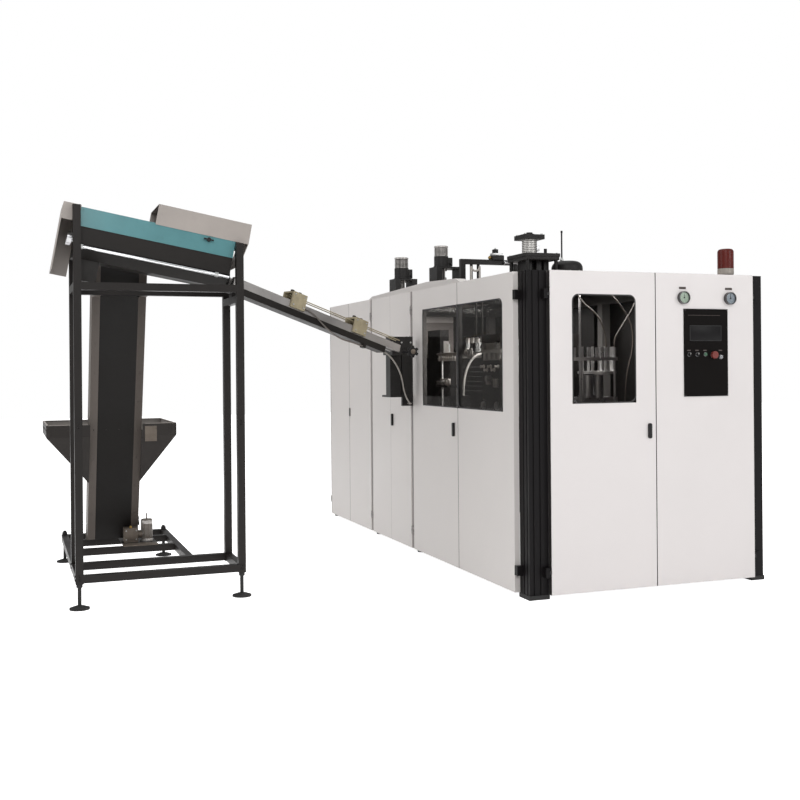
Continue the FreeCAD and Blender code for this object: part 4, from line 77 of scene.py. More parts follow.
# Where the tilted assemblies start, in millimetres, and how far they lean, in degrees.
CHUTE_TOP, CHUTE_TILT, CHUTE_HEADING = (-1690.0, 1065.0, 2153.0), 16.36, 22.8
ELEVATOR_FOOT, ELEVATOR_TILT = (-2552.0, 2140.0, 300.0), 19.8
TROUGH_TOP, TROUGH_TILT = (-2852.0, 845.0, 2627.0), 10.4


# ===== Colour and shader nodes =====

def linear(code: str) -> tuple[float, float, float, float]:
    """Turn an sRGB hex colour into the linear values that shaders take.

    Args:
        code: six hex digits after a hash sign.

    Returns:
        Linear red, green, blue and an alpha of one.
    """
    parts = [int(code[at:at + 2], 16) / 255.0 for at in (1, 3, 5)]
    red, green, blue = (v / 12.92 if v <= 0.04045 else ((v + 0.055) / 1.055) ** 2.4 for v in parts)
    return (red, green, blue, 1.0)


def empty_tree(owner: Any) -> Any:
    """Turn on the nodes of a material or world and return its cleared tree."""
    owner.use_nodes = True
    owner.node_tree.nodes.clear()
    return owner.node_tree


def add_node(tree: Any, kind: str, settings: Optional[dict[str, Any]] = None,
             links: Optional[dict[str, Any]] = None,
             stops: Sequence[tuple[float, tuple[float, ...]]] = ()) -> Any:
    """Add one shader node with its settings and the links into it.

    Args:
        tree: the node tree that gets the node.
        kind: the node's type name without its first word, ShaderNode.
        settings: attribute names, or input names or indices, with their values.
        links: input names or indices with the output sockets that feed them.
        stops: the two places and colours of a colour ramp.

    Returns:
        The new node.
    """
    node = tree.nodes.new("ShaderNode" + kind)
    for key, value in (settings or {}).items():
        if isinstance(key, str) and hasattr(node, key) and key not in node.inputs:
            setattr(node, key, value)
        else:
            node.inputs[key].default_value = value
    for key, socket in (links or {}).items():
        tree.links.new(socket, node.inputs[key])
    for index, (place, colour) in enumerate(stops):
        node.color_ramp.elements[index].position = place
        node.color_ramp.elements[index].color = colour
    return node


class Grain(Enum):
    """The fine relief that a surface shows."""

    NONE = "none"
    SPRAY = "spray"
    BRUSH_X = "brush_x"
    BRUSH_Z = "brush_z"
    MOULDED = "moulded"
    CAST = "cast"
    WEAVE = "weave"


@dataclass(frozen=True)
class Zone:
    """A box of the object, in millimetres, that has a colour and metal share of its own."""

    low: Point
    high: Point
    colour: str
    metallic: float = 0.0

    def mask(self, tree: Any, place: Any) -> Any:
        """Make a socket that is one inside the box and nought outside it.

        Args:
            tree: the node tree.
            place: the object coordinate socket.

        Returns:
            The mask's socket.
        """
        parts = add_node(tree, "SeparateXYZ", links={"Vector": place})
        whole = None
        for axis, low, high in zip("XYZ", self.low, self.high):
            middle, half = (low + high) / 2.0 * MM, (high - low) / 2.0 * MM
            off = add_node(tree, "Math", {"operation": "SUBTRACT", 1: middle},
                           {0: parts.outputs[axis]}).outputs["Value"]
            far = add_node(tree, "Math", {"operation": "ABSOLUTE"}, {0: off}).outputs["Value"]
            within = add_node(tree, "Math", {"operation": "LESS_THAN", 1: half}, {0: far}).outputs["Value"]
            whole = within if whole is None else add_node(tree, "Math", {"operation": "MULTIPLY"},
                                                          {0: whole, 1: within}).outputs["Value"]
        return whole


@dataclass(frozen=True)
class Finish:
    """One real finish with its colour, gloss, relief and the marks of use."""

    name: str
    colour: str
    roughness: float
    metallic: float = 0.0
    grain: Grain = Grain.NONE
    grain_mm: float = 2.0
    relief: float = 0.05
    shade: float = 0.06
    shade_mm: float = 420.0
    grime: float = 0.0
    coat: float = 0.0
    opacity: float = 1.0
    specular: float = 0.5
    zones: tuple[Zone, ...] = ()
    spot_scale: float = 22.0
    coat_roughness: float = 0.12

    def material(self) -> bpy.types.Material:
        """Return the finish's material, made once."""
        made = bpy.data.materials.get(self.name)
        return made if made else self.build()

    def build(self) -> bpy.types.Material:
        """Make the node tree: colour with soft shade, gloss with wear, relief and dust.

        Returns:
            The new material.
        """
        material = bpy.data.materials.new(self.name)
        tree = empty_tree(material)
        place = add_node(tree, "TexCoord").outputs["Object"]
        base = linear(self.colour)
        dark = tuple(c * (1.0 - self.shade) for c in base[:3]) + (1.0,)
        light = tuple(min(1.0, c * (1.0 + self.shade * 0.6)) for c in base[:3]) + (1.0,)
        cloud = add_node(tree, "TexNoise", {"Scale": 1000.0 / self.shade_mm, "Detail": 4.0,
                                            "Roughness": 0.6}, {"Vector": place}).outputs["Fac"]
        colour = add_node(tree, "ValToRGB", links={"Fac": cloud},
                          stops=((0.32, dark), (0.68, light))).outputs["Color"]
        if self.grime > 0.0:
            spots = add_node(tree, "TexNoise", {"Scale": self.spot_scale, "Detail": 6.0, "Roughness": 0.7},
                             {"Vector": place}).outputs["Fac"]
            amount = add_node(tree, "MapRange", {"From Min": 0.56, "From Max": 0.74, "To Min": 0.0,
                                                 "To Max": self.grime}, {"Value": spots}).outputs["Result"]
            soiled = tuple(c * 0.45 + 0.012 for c in base[:3]) + (1.0,)
            mix = add_node(tree, "Mix", {"data_type": "RGBA", 7: soiled}, {0: amount, 6: colour})
            colour = mix.outputs[2]
        metal = None
        for zone in self.zones:
            inside = zone.mask(tree, place)
            colour = add_node(tree, "Mix", {"data_type": "RGBA", 7: linear(zone.colour)},
                              {0: inside, 6: colour}).outputs[2]
            share = add_node(tree, "Mix", {"data_type": "FLOAT", 2: self.metallic, 3: zone.metallic},
                             {0: inside})
            if metal is not None:
                tree.links.new(metal, share.inputs[2])
            metal = share.outputs[0]
        gloss = add_node(tree, "MapRange", {"From Min": 0.3, "From Max": 0.7,
                                            "To Min": max(0.03, self.roughness - 0.05),
                                            "To Max": min(1.0, self.roughness + 0.07)},
                         {"Value": cloud}).outputs["Result"]
        links = {"Base Color": colour, "Roughness": gloss}
        if metal is not None:
            links["Metallic"] = metal
        height = self.relief_height(tree, place)
        if height is not None:
            bump = add_node(tree, "Bump", {"Strength": min(1.0, self.relief * 4.0),
                                           "Distance": self.relief * MM}, {"Height": height})
            links["Normal"] = bump.outputs["Normal"]
        shader = add_node(tree, "BsdfPrincipled",
                          {"Metallic": self.metallic, "Specular IOR Level": self.specular,
                           "Coat Weight": self.coat, "Coat Roughness": self.coat_roughness,
                           "Alpha": self.opacity}, links)
        add_node(tree, "OutputMaterial", links={"Surface": shader.outputs["BSDF"]})
        return material

    def relief_height(self, tree: Any, place: Any) -> Optional[Any]:
        """Make the relief's height from the object's own coordinates.

        Args:
            tree: the node tree.
            place: the object coordinate socket.

        Returns:
            A height socket, or None for a smooth finish.
        """
        if self.grain is Grain.NONE:
            return None
        scale = 1000.0 / self.grain_mm
        stretch = {Grain.BRUSH_X: (0.02, 1.0, 1.0),
                   Grain.BRUSH_Z: (1.0, 1.0, 0.02)}.get(self.grain, (1.0, 1.0, 1.0))
        mapped = add_node(tree, "Mapping", {"Scale": stretch}, {"Vector": place}).outputs["Vector"]
        if self.grain is Grain.WEAVE:
            return add_node(tree, "TexWave", {"Scale": scale / 6.0, "Distortion": 0.4},
                            {"Vector": mapped}).outputs["Fac"]
        if self.grain is Grain.MOULDED:
            return add_node(tree, "TexVoronoi", {"Scale": scale}, {"Vector": mapped}).outputs["Distance"]
        return add_node(tree, "TexNoise", {"Scale": scale, "Detail": 3.0},
                        {"Vector": mapped}).outputs["Fac"]


@dataclass(frozen=True)
class TintedPane:
    """Faintly tinted clear acrylic, with a smooth skin that mirrors a little of the lamps."""

    name: str = "tinted_acrylic"
    tint: str = "#d3d1cf"
    index: float = 1.35
    mirror: float = 0.12

    def material(self) -> bpy.types.Material:
        """Return the pane's material, made once.

        Returns:
            The shared material.
        """
        made = bpy.data.materials.get(self.name)
        if made:
            return made
        material = bpy.data.materials.new(self.name)
        tree = empty_tree(material)
        place = add_node(tree, "TexCoord").outputs["Object"]
        smear = add_node(tree, "TexNoise", {"Scale": 6.0, "Detail": 5.0, "Roughness": 0.65},
                         {"Vector": place}).outputs["Fac"]
        gloss = add_node(tree, "MapRange", {"From Min": 0.4, "From Max": 0.75, "To Min": 0.03,
                                            "To Max": 0.12}, {"Value": smear}).outputs["Result"]
        through = add_node(tree, "BsdfTransparent", {"Color": linear(self.tint)})
        skin = add_node(tree, "BsdfGlossy", {"Color": (0.9, 0.9, 0.9, 1.0)}, {"Roughness": gloss})
        edge = add_node(tree, "Fresnel", {"IOR": self.index})
        faint = add_node(tree, "Math", {"operation": "MULTIPLY", 1: self.mirror}, {0: edge.outputs["Fac"]})
        mix = add_node(tree, "MixShader", links={0: faint.outputs["Value"], 1: through.outputs["BSDF"],
                                                 2: skin.outputs["BSDF"]})
        add_node(tree, "OutputMaterial", links={"Surface": mix.outputs["Shader"]})
        return material


# Satin powder coat is sprayed and baked: an even colour, a soft sheen and a fine orange peel. The peel's
# real pitch is under 1 mm and is drawn at 2.5 mm or more so that it shows.
# Painted shade: the doors' inner faces and edge flanges are coloured dark for the shade inside the cabinet
# and in the gaps between doors. Behind the side windows they are darker still. The third colour is the black
# of the hinges and locks that stand in front of the door faces.
DOOR_INNER_SHADE, WINDOW_DOOR_INNER_SHADE, FACE_DARK = "#33302f", "#171514", "#171515"
FRONT_WHITE = Finish("white_powder_coat_painted_inner_shade", "#e2dddc", 0.42, grain=Grain.SPRAY, grain_mm=3.0, relief=0.03,
                     shade=0.02, shade_mm=900,
                     zones=(Zone((-200, -109.2, -10), (1900, 200, 2300), DOOR_INNER_SHADE),
                            Zone((-200, -200, -10), (1900, -110.4, 2300), FACE_DARK)))
PANEL_GREY = Finish("pale_grey_powder_coat", "#dcd7d4", 0.46, grain=Grain.SPRAY, grain_mm=3.0, relief=0.03,
                    shade=0.03, shade_mm=1100)
# Painted shade: each side door's inner faces and edge flanges are coloured dark between two places along the
# long side, which leaves its hinged edge pale.
SIDE_SHADE_SPANS = ((73.8, 1020), (1020, 1966.2), (2023.8, 2525), (2525, 3026.2), (3083.8, 3740),
                (3740, 4376.2))
SIDE_GREYS = [replace(PANEL_GREY, name="pale_grey_side_coat_painted_shade_%d" % order,
                      zones=(Zone((-109.2, start, -10), (200, end, 2300),
                                  WINDOW_DOOR_INNER_SHADE if order <= 2 else DOOR_INNER_SHADE),
                             Zone((-200, -10, -10), (-110.4, 4500, 2300), FACE_DARK)))
              for order, (start, end) in enumerate(SIDE_SHADE_SPANS, 1)]
# Painted shade inside the cabinet: the inner faces of the roof and fixed panels are coloured near black. Two
# paler bands high on the rear wall are painted light for its dimly lit upper part.
PANEL_GREY_INNER_SHADE = replace(PANEL_GREY, name="pale_grey_coat_painted_inner_shade", specular=0.2,
                     zones=(Zone((-66, -66, -10), (1819, 4454, 2196.6), "#0d0b0a"),
                            Zone((-66, 3500, 1500), (1330, 4454, 2050), "#857f7c"),
                            Zone((-66, 3500, 2050), (1330, 4454, 2196.6), "#c9c4c1")))
POST_BLACK = Finish("black_anodised_post", "#141213", 0.46, grain=Grain.BRUSH_Z, grain_mm=3.0, relief=0.04,
                    shade=0.12, shade_mm=500, grime=0.1, specular=0.12)
MULLION_GREY = Finish("grey_mullion_paint", "#847e7c", 0.50, grain=Grain.SPRAY, grain_mm=3.0, relief=0.03)
FRAME_STEEL = Finish("primed_steel_frame", "#6c6a69", 0.55, grain=Grain.SPRAY, grain_mm=4.0, relief=0.05,
                     shade=0.10, grime=0.2)
# Brushed stainless steel carries fine parallel lines that stretch its highlights along the part.
STAINLESS = Finish("brushed_stainless_steel", "#c2c2c4", 0.30, 1.0, Grain.BRUSH_Z, 1.6, 0.05, 0.08, 160)
# Machined aluminium is paler and duller than steel, with a faint mill pattern.
ALUMINIUM = Finish("machined_aluminium", "#d2d2d2", 0.36, 1.0, Grain.BRUSH_X, 2.0, 0.04, 0.07, 200)
CHROME = Finish("chromed_rod", "#d8d9db", 0.12, 1.0, Grain.NONE, shade=0.03, shade_mm=80)
# Feeder frame: dark brown black gloss paint on square steel tube, a little dusty.
FEEDER_PAINT = Finish("dark_brown_gloss_paint", "#1a1614", 0.42, grain=Grain.SPRAY, grain_mm=4.0,
                      relief=0.06, shade=0.18, shade_mm=300, grime=0.3, specular=0.25)
# Painted highlights: the two pale strips down the elevator's side channels stand for light on their edges.
# The screws set there take the same colour.
BELLY_SHEET = Finish("dark_oiled_sheet_painted_edge_highlights", "#100d0b", 0.50, grain=Grain.BRUSH_Z, grain_mm=5.0, relief=0.05,
                     shade=0.2, shade_mm=350, grime=0.2, specular=0.2,
                     zones=(Zone((-2745, 1300, 180), (-2686, 2400, 2700), "#67605b"),
                            Zone((-2418, 1300, 180), (-2350, 2400, 2700), "#544d48")))
HOPPER_SHEET = Finish("dark_brown_hopper_paint", "#231e1b", 0.46, grain=Grain.SPRAY, grain_mm=4.0,
                      relief=0.06, shade=0.14, shade_mm=350, grime=0.25, specular=0.3,
                      zones=(Zone((-3048.4, 1791.6, 1060), (-2111.6, 2638.4, 1151), "#a29c97"),))
TEAL_PAINT = Finish("teal_gloss_paint", "#4f878c", 0.32, grain=Grain.SPRAY, grain_mm=5.0, relief=0.05,
                    shade=0.10, shade_mm=260, grime=0.12, coat=0.2)
HOOD_GREY = Finish("warm_grey_hood_paint", "#a79f99", 0.40, grain=Grain.SPRAY, grain_mm=4.0, relief=0.05,
                   shade=0.07, shade_mm=350, grime=0.15)
TROUGH_STEEL = Finish("folded_steel_trough", "#1e1b19", 0.46, 0.2, Grain.BRUSH_X, 3.0, 0.06, 0.15, 250, 0.3,
                      specular=0.25)
CHUTE_DARK = Finish("dark_chute_channel", "#1c1917", 0.48, 0.2, Grain.BRUSH_X, 3.0, 0.05, 0.15, 250, 0.25,
                    specular=0.25)
CLAMP_BEIGE = Finish("beige_cast_clamp", "#a1967c", 0.55, grain=Grain.CAST, grain_mm=4.0, relief=0.10,
                     shade=0.16, shade_mm=60, grime=0.35, specular=0.3)
DRIVE_GREY = Finish("oily_drive_casting", "#6a6158", 0.48, 0.3, grain=Grain.CAST, grain_mm=4.0, relief=0.10,
                    shade=0.2, shade_mm=60, grime=0.4, specular=0.3,
                    zones=(Zone((-2900, 900, 1500), (-2200, 1400, 2400), "#1d1a18"),
                           Zone((-2520, 1980, 210), (-2230, 2320, 227), "#1d1a18")))
MOTOR_DARK = Finish("dark_grey_motor_enamel", "#191716", 0.45, grain=Grain.CAST, grain_mm=4.0, relief=0.12,
                    shade=0.12, shade_mm=120, grime=0.25, specular=0.3)
MOTOR_GREY = Finish("grey_motor_enamel", "#b4b0ac", 0.36, 0.6, grain=Grain.CAST, grain_mm=4.0, relief=0.10,
                    shade=0.12, shade_mm=120, grime=0.2)
# Rubber is dull and slightly uneven and keeps dust.
BELT_RUBBER = Finish("ribbed_belt_rubber", "#25221f", 0.78, grain=Grain.WEAVE, grain_mm=4.0, relief=0.2,
                     shade=0.15, shade_mm=120, grime=0.3, specular=0.3)
PAD_RUBBER = Finish("foot_pad_rubber", "#262525", 0.80, grain=Grain.MOULDED, grain_mm=5.0, relief=0.12,
                    shade=0.12, shade_mm=60)
# ABS and nylon mouldings have a fine spark-eroded texture and a low sheen.
BLACK_NYLON = Finish("black_glass_nylon", "#121112", 0.50, grain=Grain.MOULDED, grain_mm=2.5, relief=0.08,
                     shade=0.10, shade_mm=40, specular=0.3)
CONSOLE_BLACK = Finish("black_console_paint", "#070403", 0.52, grain=Grain.SPRAY, grain_mm=3.0, relief=0.04,
                       shade=0.12, shade_mm=200, specular=0.08)
RED_CAP = Finish("red_moulded_cap", "#70231a", 0.38, grain=Grain.MOULDED, grain_mm=2.0, relief=0.05,
                 shade=0.08, shade_mm=30)
GREEN_CAP = Finish("green_moulded_cap", "#355c43", 0.38, grain=Grain.MOULDED, grain_mm=2.0, relief=0.05,
                   shade=0.08, shade_mm=30)
BEACON_RED = Finish("red_polycarbonate_dome", "#5a170f", 0.30, shade=0.15, shade_mm=40, coat=0.05,
                    opacity=0.95, specular=0.25)
BEACON_GREY = Finish("pale_grey_beacon_foot", "#9c958d", 0.45, grain=Grain.MOULDED, grain_mm=2.5,
                     relief=0.06, shade=0.08, shade_mm=40)
HOSE_GREY = Finish("grey_polyurethane_hose", "#8f8a84", 0.38, shade=0.10, shade_mm=60)
HOSE_DARK = Finish("smoke_polyurethane_hose", "#5d5651", 0.40, shade=0.10, shade_mm=60)
HOSE_WHITE = Finish("milky_polyurethane_hose", "#dcdad6", 0.30, shade=0.06, shade_mm=60)
DARK_RIM = Finish("dark_chromed_rim", "#5b5a5b", 0.22, 1.0, Grain.NONE, shade=0.06, shade_mm=30)
PRESS_STEEL = Finish("oiled_press_plate", "#1c1a18", 0.42, 0.3, Grain.BRUSH_Z, 3.0, 0.05, 0.15, 120, 0.2,
                     specular=0.3, zones=(Zone((20, 540, 1605), (61, 920, 1735), "#b5b4b0", 0.3),
                                          Zone((112, 640, 1240), (668, 940, 1740), "#a5a5a2", 0.9)))
OVEN_STEEL = Finish("enamelled_oven_steel", "#1a1817", 0.45, 0.2, Grain.BRUSH_Z, 3.0, 0.05, 0.15, 200, 0.2,
                    specular=0.3, zones=(Zone((325, 1200, 1640), (940, 4200, 1790), "#9b9995", 0.3),))
STRETCH_STEEL = Finish("black_oxide_steel", "#171514", 0.42, 0.2, Grain.BRUSH_X, 3.0, 0.05, 0.12, 120, 0.2,
                       specular=0.3, zones=(Zone((325, 725, 2401), (455, 855, 2511.5), "#c4c2be", 0.9),))
ZINC = Finish("zinc_plated_steel", "#b4b5b4", 0.34, 1.0, Grain.NONE, shade=0.10, shade_mm=25)
RAIL_STEEL = Finish("dull_chute_rail", "#9b9896", 0.42, 0.8, Grain.BRUSH_X, 2.0, 0.05, 0.12, 200, 0.2)
BRASS = Finish("turned_brass", "#b89a5c", 0.30, 1.0, Grain.NONE, shade=0.10, shade_mm=25)
CAST_GREY = Finish("grey_cast_iron_paint", "#8b8885", 0.52, grain=Grain.CAST, grain_mm=4.0, relief=0.12,
                   shade=0.10, shade_mm=90, grime=0.2)
PALE_PIPE = Finish("pale_grey_pipe_enamel", "#b3aea8", 0.40, shade=0.10, shade_mm=60)
SEAL_RUBBER = Finish("black_window_rubber", "#232122", 0.66, grain=Grain.MOULDED, grain_mm=3.0, relief=0.05,
                     shade=0.08, shade_mm=60)
PREFORM_PET = Finish("milky_pet_preform", "#babdbc", 0.18, shade=0.03, shade_mm=40, coat=0.4)
WHITE_ACETAL = Finish("white_acetal", "#e3e0da", 0.40, grain=Grain.MOULDED, grain_mm=2.5, relief=0.05,
                      shade=0.05, shade_mm=40)
WHITE_INK = Finish("white_marking", "#eceae6", 0.50, shade=0.02)
TAG_BROWN = Finish("dark_brown_label_stock", "#3a2e2a", 0.42, shade=0.06, shade_mm=60)
GREEN_DIAL = Finish("pale_green_dial_enamel", "#a9b8a6", 0.40, shade=0.03, shade_mm=40)
BLUE_DIAL = Finish("blue_grey_dial_enamel", "#8d959e", 0.40, shade=0.03, shade_mm=40)
SCREEN_GLASS = Finish("unlit_screen_glass", "#151415", 0.34, shade=0.05, shade_mm=200, specular=0.12)
GAUGE_GLASS = TintedPane("gauge_window_glass", "#fafbfb")
PANE = TintedPane()

NODE_FINISHES: dict[str, Any] = {"side_door_%d" % order: coat for order, coat in enumerate(SIDE_GREYS, 1)}
for coat, names in (
        (PAD_RUBBER, "levelling_feet"), (FRAME_STEEL, "cabinet_frame"), (POST_BLACK, "front_posts"),
        (MULLION_GREY, "side_mullions"), (PANEL_GREY_INNER_SHADE, "roof_panels fixed_panels"),
        (MOTOR_DARK, "machine_deck roof_frame roof_motors infeed_unit"), (PRESS_STEEL, "press_frame"),
        (ALUMINIUM, "mould_left mould_right transfer_wheel"),
        (STAINLESS, "transfer_pedestal head_roller foot_roller sorting_roller_near sorting_roller_far"),
        (OVEN_STEEL, "oven"), (STRETCH_STEEL, "stretch_cylinder"), (CHROME, "stretch_rod key_switch"),
        (BEACON_GREY, "beacon_base"), (BEACON_RED, "beacon_dome"),
        (FRONT_WHITE, "front_door_left front_door_right"),
        (PANE, "front_window side_window_1 side_window_2"), (CONSOLE_BLACK, "control_panel"),
        (RED_CAP, "estop_button"), (GREEN_CAP, "start_button"), (DARK_RIM, "pressure_gauges"),
        (BLACK_NYLON, "gauge_needle_left gauge_needle_right wing_knob star_wheel"),
        (BLACK_NYLON, "handle_front handle_side_2 handle_side_3"),
        (FEEDER_PAINT, "feeder_frame"), (HOPPER_SHEET, "hopper"), (BELLY_SHEET, "elevator_frame"),
        (BELT_RUBBER, "elevator_belt"), (DRIVE_GREY, "elevator_motor"), (TROUGH_STEEL, "trough_body"),
        (TEAL_PAINT, "trough_panel"), (HOOD_GREY, "drive_end_cover outlet_hood"),
        (RAIL_STEEL, "chute_rails"), (CHUTE_DARK, "chute_channel"), (CLAMP_BEIGE, "chute_clamps")):
    NODE_FINISHES.update(dict.fromkeys(names.split(), coat))


def dress_nodes() -> None:
    """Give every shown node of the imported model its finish."""
    for name, finish in NODE_FINISHES.items():
        node = frame["nodes"][name]
        made = finish.material()
        if not node.data.materials:
            node.data.materials.append(made)
        for slot in node.material_slots:
            slot.material = made


# ===== Modelling tools =====

def clear_selection() -> None:
    """Deselect every object."""
    for thing in bpy.context.view_layer.objects:
        thing.select_set(False)


def choose_faces(test: Callable[[Any], bool]) -> None:
    """Select the faces of the mesh in edit mode that pass a test, and nothing else.

    Args:
        test: takes a face and says whether it is wanted.
    """
    mesh = bmesh.from_edit_mesh(bpy.context.edit_object.data)
    bpy.ops.mesh.select_mode(type="FACE")
    for face in mesh.faces:
        face.select_set(False)
    wanted = [face for face in mesh.faces if test(face)]
    for face in wanted:
        face.select_set(True)
    bmesh.update_edit_mesh(bpy.context.edit_object.data)


def cap_towards(axis: Vector) -> Callable[[Any], bool]:
    """Make a test for the face that lies farthest along an axis and faces it."""
    mesh = bmesh.from_edit_mesh(bpy.context.edit_object.data)
    facing = [face for face in mesh.faces if face.normal.dot(axis) > 0.95]
    top = max(face.calc_center_median().dot(axis) for face in facing)
    return lambda face: face.normal.dot(axis) > 0.95 and face.calc_center_median().dot(axis) > top - 1e-5


def settle(piece: Piece, finish: Any) -> Piece:
    """Put a piece's place into its mesh, smooth it by angle and give it its finish.

    Args:
        piece: the finished object.
        finish: the finish that it gets.

    Returns:
        The same object.
    """
    clear_selection()
    piece.select_set(True)
    bpy.context.view_layer.objects.active = piece
    bpy.ops.object.transform_apply(location=True, rotation=True, scale=True)
    bpy.ops.object.shade_smooth_by_angle(angle=SHARP)
    piece.data.materials.clear()
    piece.data.materials.append(finish.material())
    return piece


def raw_block(low: Point, high: Point) -> Piece:
    """Add a sharp block between two corners, in millimetres, and leave it selected in edit mode.

    Args:
        low: its lowest corner.
        high: its highest corner.

    Returns:
        The new object.
    """
    clear_selection()
    bpy.ops.mesh.primitive_cube_add(size=1.0, location=[(a + b) / 2.0 * MM for a, b in zip(low, high)])
    piece = bpy.context.object
    bpy.ops.object.mode_set(mode="EDIT")
    bpy.ops.mesh.select_all(action="SELECT")
    bpy.ops.transform.resize(value=[(b - a) * MM for a, b in zip(low, high)])
    return piece


def block(low: Point, high: Point, finish: Any, edge: float = 1.0) -> Piece:
    """Model a block between two corners, in millimetres, with bevelled edges.

    Args:
        low: its lowest corner.
        high: its highest corner.
        finish: its finish.
        edge: the bevel's width.

    Returns:
        The new object.
    """
    piece = raw_block(low, high)
    if edge > 0.0:
        bpy.ops.mesh.bevel(offset=edge * MM, segments=2, affect="EDGES")
    bpy.ops.object.mode_set(mode="OBJECT")
    return settle(piece, finish)


def close_mesh(merge: bool = True) -> None:
    """Merge the doubles of the mesh in edit mode if asked, face it outwards and leave edit mode."""
    bpy.ops.mesh.select_all(action="SELECT")
    if merge:
        bpy.ops.mesh.remove_doubles(threshold=MERGE)
    bpy.ops.mesh.normals_make_consistent(inside=False)
    bpy.ops.object.mode_set(mode="OBJECT")


def turned(start: Point, facing: Point, profile: Sequence[tuple[float, float]], finish: Any,
           sides: int = 32, edge: float = 0.6) -> Piece:
    """Model a turned piece from its first face on by extruding and scaling its end face.

    Args:
        start: the middle of its first face, in millimetres.
        facing: the direction of its axis, of any length.
        profile: stations along the axis as distance and radius in millimetres, in order.
        finish: its finish.
        sides: how many sides its circle has.
        edge: bevel width on its sharp rims.

    Returns:
        The new object.
    """
    clear_selection()
    axis = Vector(facing).normalized()
    (first, radius), (second, next_radius) = profile[0], profile[1]
    length = (second - first) * MM
    origin = Vector(start) * MM + axis * (first * MM + length / 2.0)
    turn = axis.to_track_quat("Z", "Y")
    bpy.ops.mesh.primitive_cone_add(vertices=sides, radius1=radius * MM, radius2=next_radius * MM,
                                    depth=length, location=origin, rotation=turn.to_euler())
    piece = bpy.context.object
    bpy.ops.object.transform_apply(location=True, rotation=True, scale=True)
    bpy.ops.object.mode_set(mode="EDIT")
    for (here, _), (there, wide) in zip(profile[1:], profile[2:]):
        choose_faces(cap_towards(axis))
        middle = Vector(start) * MM + axis * (here * MM)
        ring = [face for face in bmesh.from_edit_mesh(piece.data).faces if face.select][0]
        now = max((v.co - middle).length for v in ring.verts)
        bpy.ops.mesh.extrude_region_move(TRANSFORM_OT_translate={"value": axis
                                                                 * (max(0.0, there - here) * MM)})
        share = wide * MM / now
        bpy.ops.transform.resize(value=(share, share, share),
                                 center_override=Vector(start) * MM + axis * (there * MM))
    close_mesh()
    if edge > 0.0:
        soften(piece, edge)
    return settle(piece, finish)


def soften(piece: Piece, width: float) -> None:
    """Round a piece's sharp edges with an applied bevel.

    Args:
        piece: the object.
        width: the bevel's width in millimetres.
    """
    clear_selection()
    piece.select_set(True)
    bpy.context.view_layer.objects.active = piece
    bevel = piece.modifiers.new("rounded_edges", "BEVEL")
    bevel.width = width * MM
    bevel.segments = 2
    bevel.limit_method = "ANGLE"
    bevel.angle_limit = SHARP
    bpy.ops.object.modifier_apply(modifier=bevel.name)


def moved_copy(piece: Piece, move: Matrix) -> Piece:
    """Copy a piece with a mesh of its own, moved by a matrix."""
    twin = piece.copy()
    twin.data = piece.data.copy()
    twin.data.transform(move)
    bpy.context.collection.objects.link(twin)
    return twin


def copies(piece: Piece, steps: Iterable[Point]) -> list[Piece]:
    """Copy a piece by steps in millimetres and return the first piece and its copies."""
    return [piece] + [moved_copy(piece, Matrix.Translation(Vector(step) * MM)) for step in steps]


def turn_about(centre: Point, axis: Point, angle: float) -> Matrix:
    """Make the matrix that turns by an angle, in degrees, about an axis through a point in millimetres."""
    spot = Matrix.Translation(Vector(centre) * MM)
    return spot @ Matrix.Rotation(math.radians(angle), 4, Vector(axis)) @ spot.inverted()


def around(piece: Piece, centre: Point, axis: Point, count: int, sweep: float = 360.0) -> list[Piece]:
    """Repeat a piece round an axis, each copy with its own mesh.

    Args:
        piece: the modelled object, which is the first of them.
        centre: a point on the axis, in millimetres.
        axis: the axis' direction.
        count: how many there are in all.
        sweep: the angle that they fill, in degrees.

    Returns:
        The first piece and its copies.
    """
    steps = count if sweep >= 359.0 else max(1, count - 1)
    return [piece] + [moved_copy(piece, turn_about(centre, axis, sweep * order / steps))
                      for order in range(1, count)]


def ring_frame(low: Point, high: Point, wide: float, corner: float, finish: Any, axis: int = 1) -> Piece:
    """Model a frame round an opening: a slab with rounded corners, inset and opened through.

    Args:
        low: its lowest corner in millimetres.
        high: its highest corner.
        wide: how wide the frame's strip is.
        corner: the outer corner radius.
        finish: its finish.
        axis: the axis that the opening runs along.

    Returns:
        The new object.
    """
    piece = raw_block(low, high)
    through = Vector([1.0 if place == axis else 0.0 for place in range(3)])
    mesh = bmesh.from_edit_mesh(piece.data)
    bpy.ops.mesh.select_mode(type="EDGE")
    for edge in mesh.edges:
        run = (edge.verts[1].co - edge.verts[0].co).normalized()
        edge.select_set(abs(run.dot(through)) > 0.9)
    bmesh.update_edit_mesh(piece.data)
    bpy.ops.mesh.bevel(offset=corner * MM, segments=8, affect="EDGES")
    choose_faces(lambda face: abs(face.normal.dot(through)) > 0.9)
    bpy.ops.mesh.inset(thickness=wide * MM, use_individual=True)
    bpy.ops.mesh.delete(type="FACE")
    bpy.ops.mesh.select_mode(type="EDGE")
    bpy.ops.mesh.select_all(action="DESELECT")
    bpy.ops.mesh.select_non_manifold()
    bpy.ops.mesh.bridge_edge_loops()
    close_mesh(merge=False)
    return settle(piece, finish)


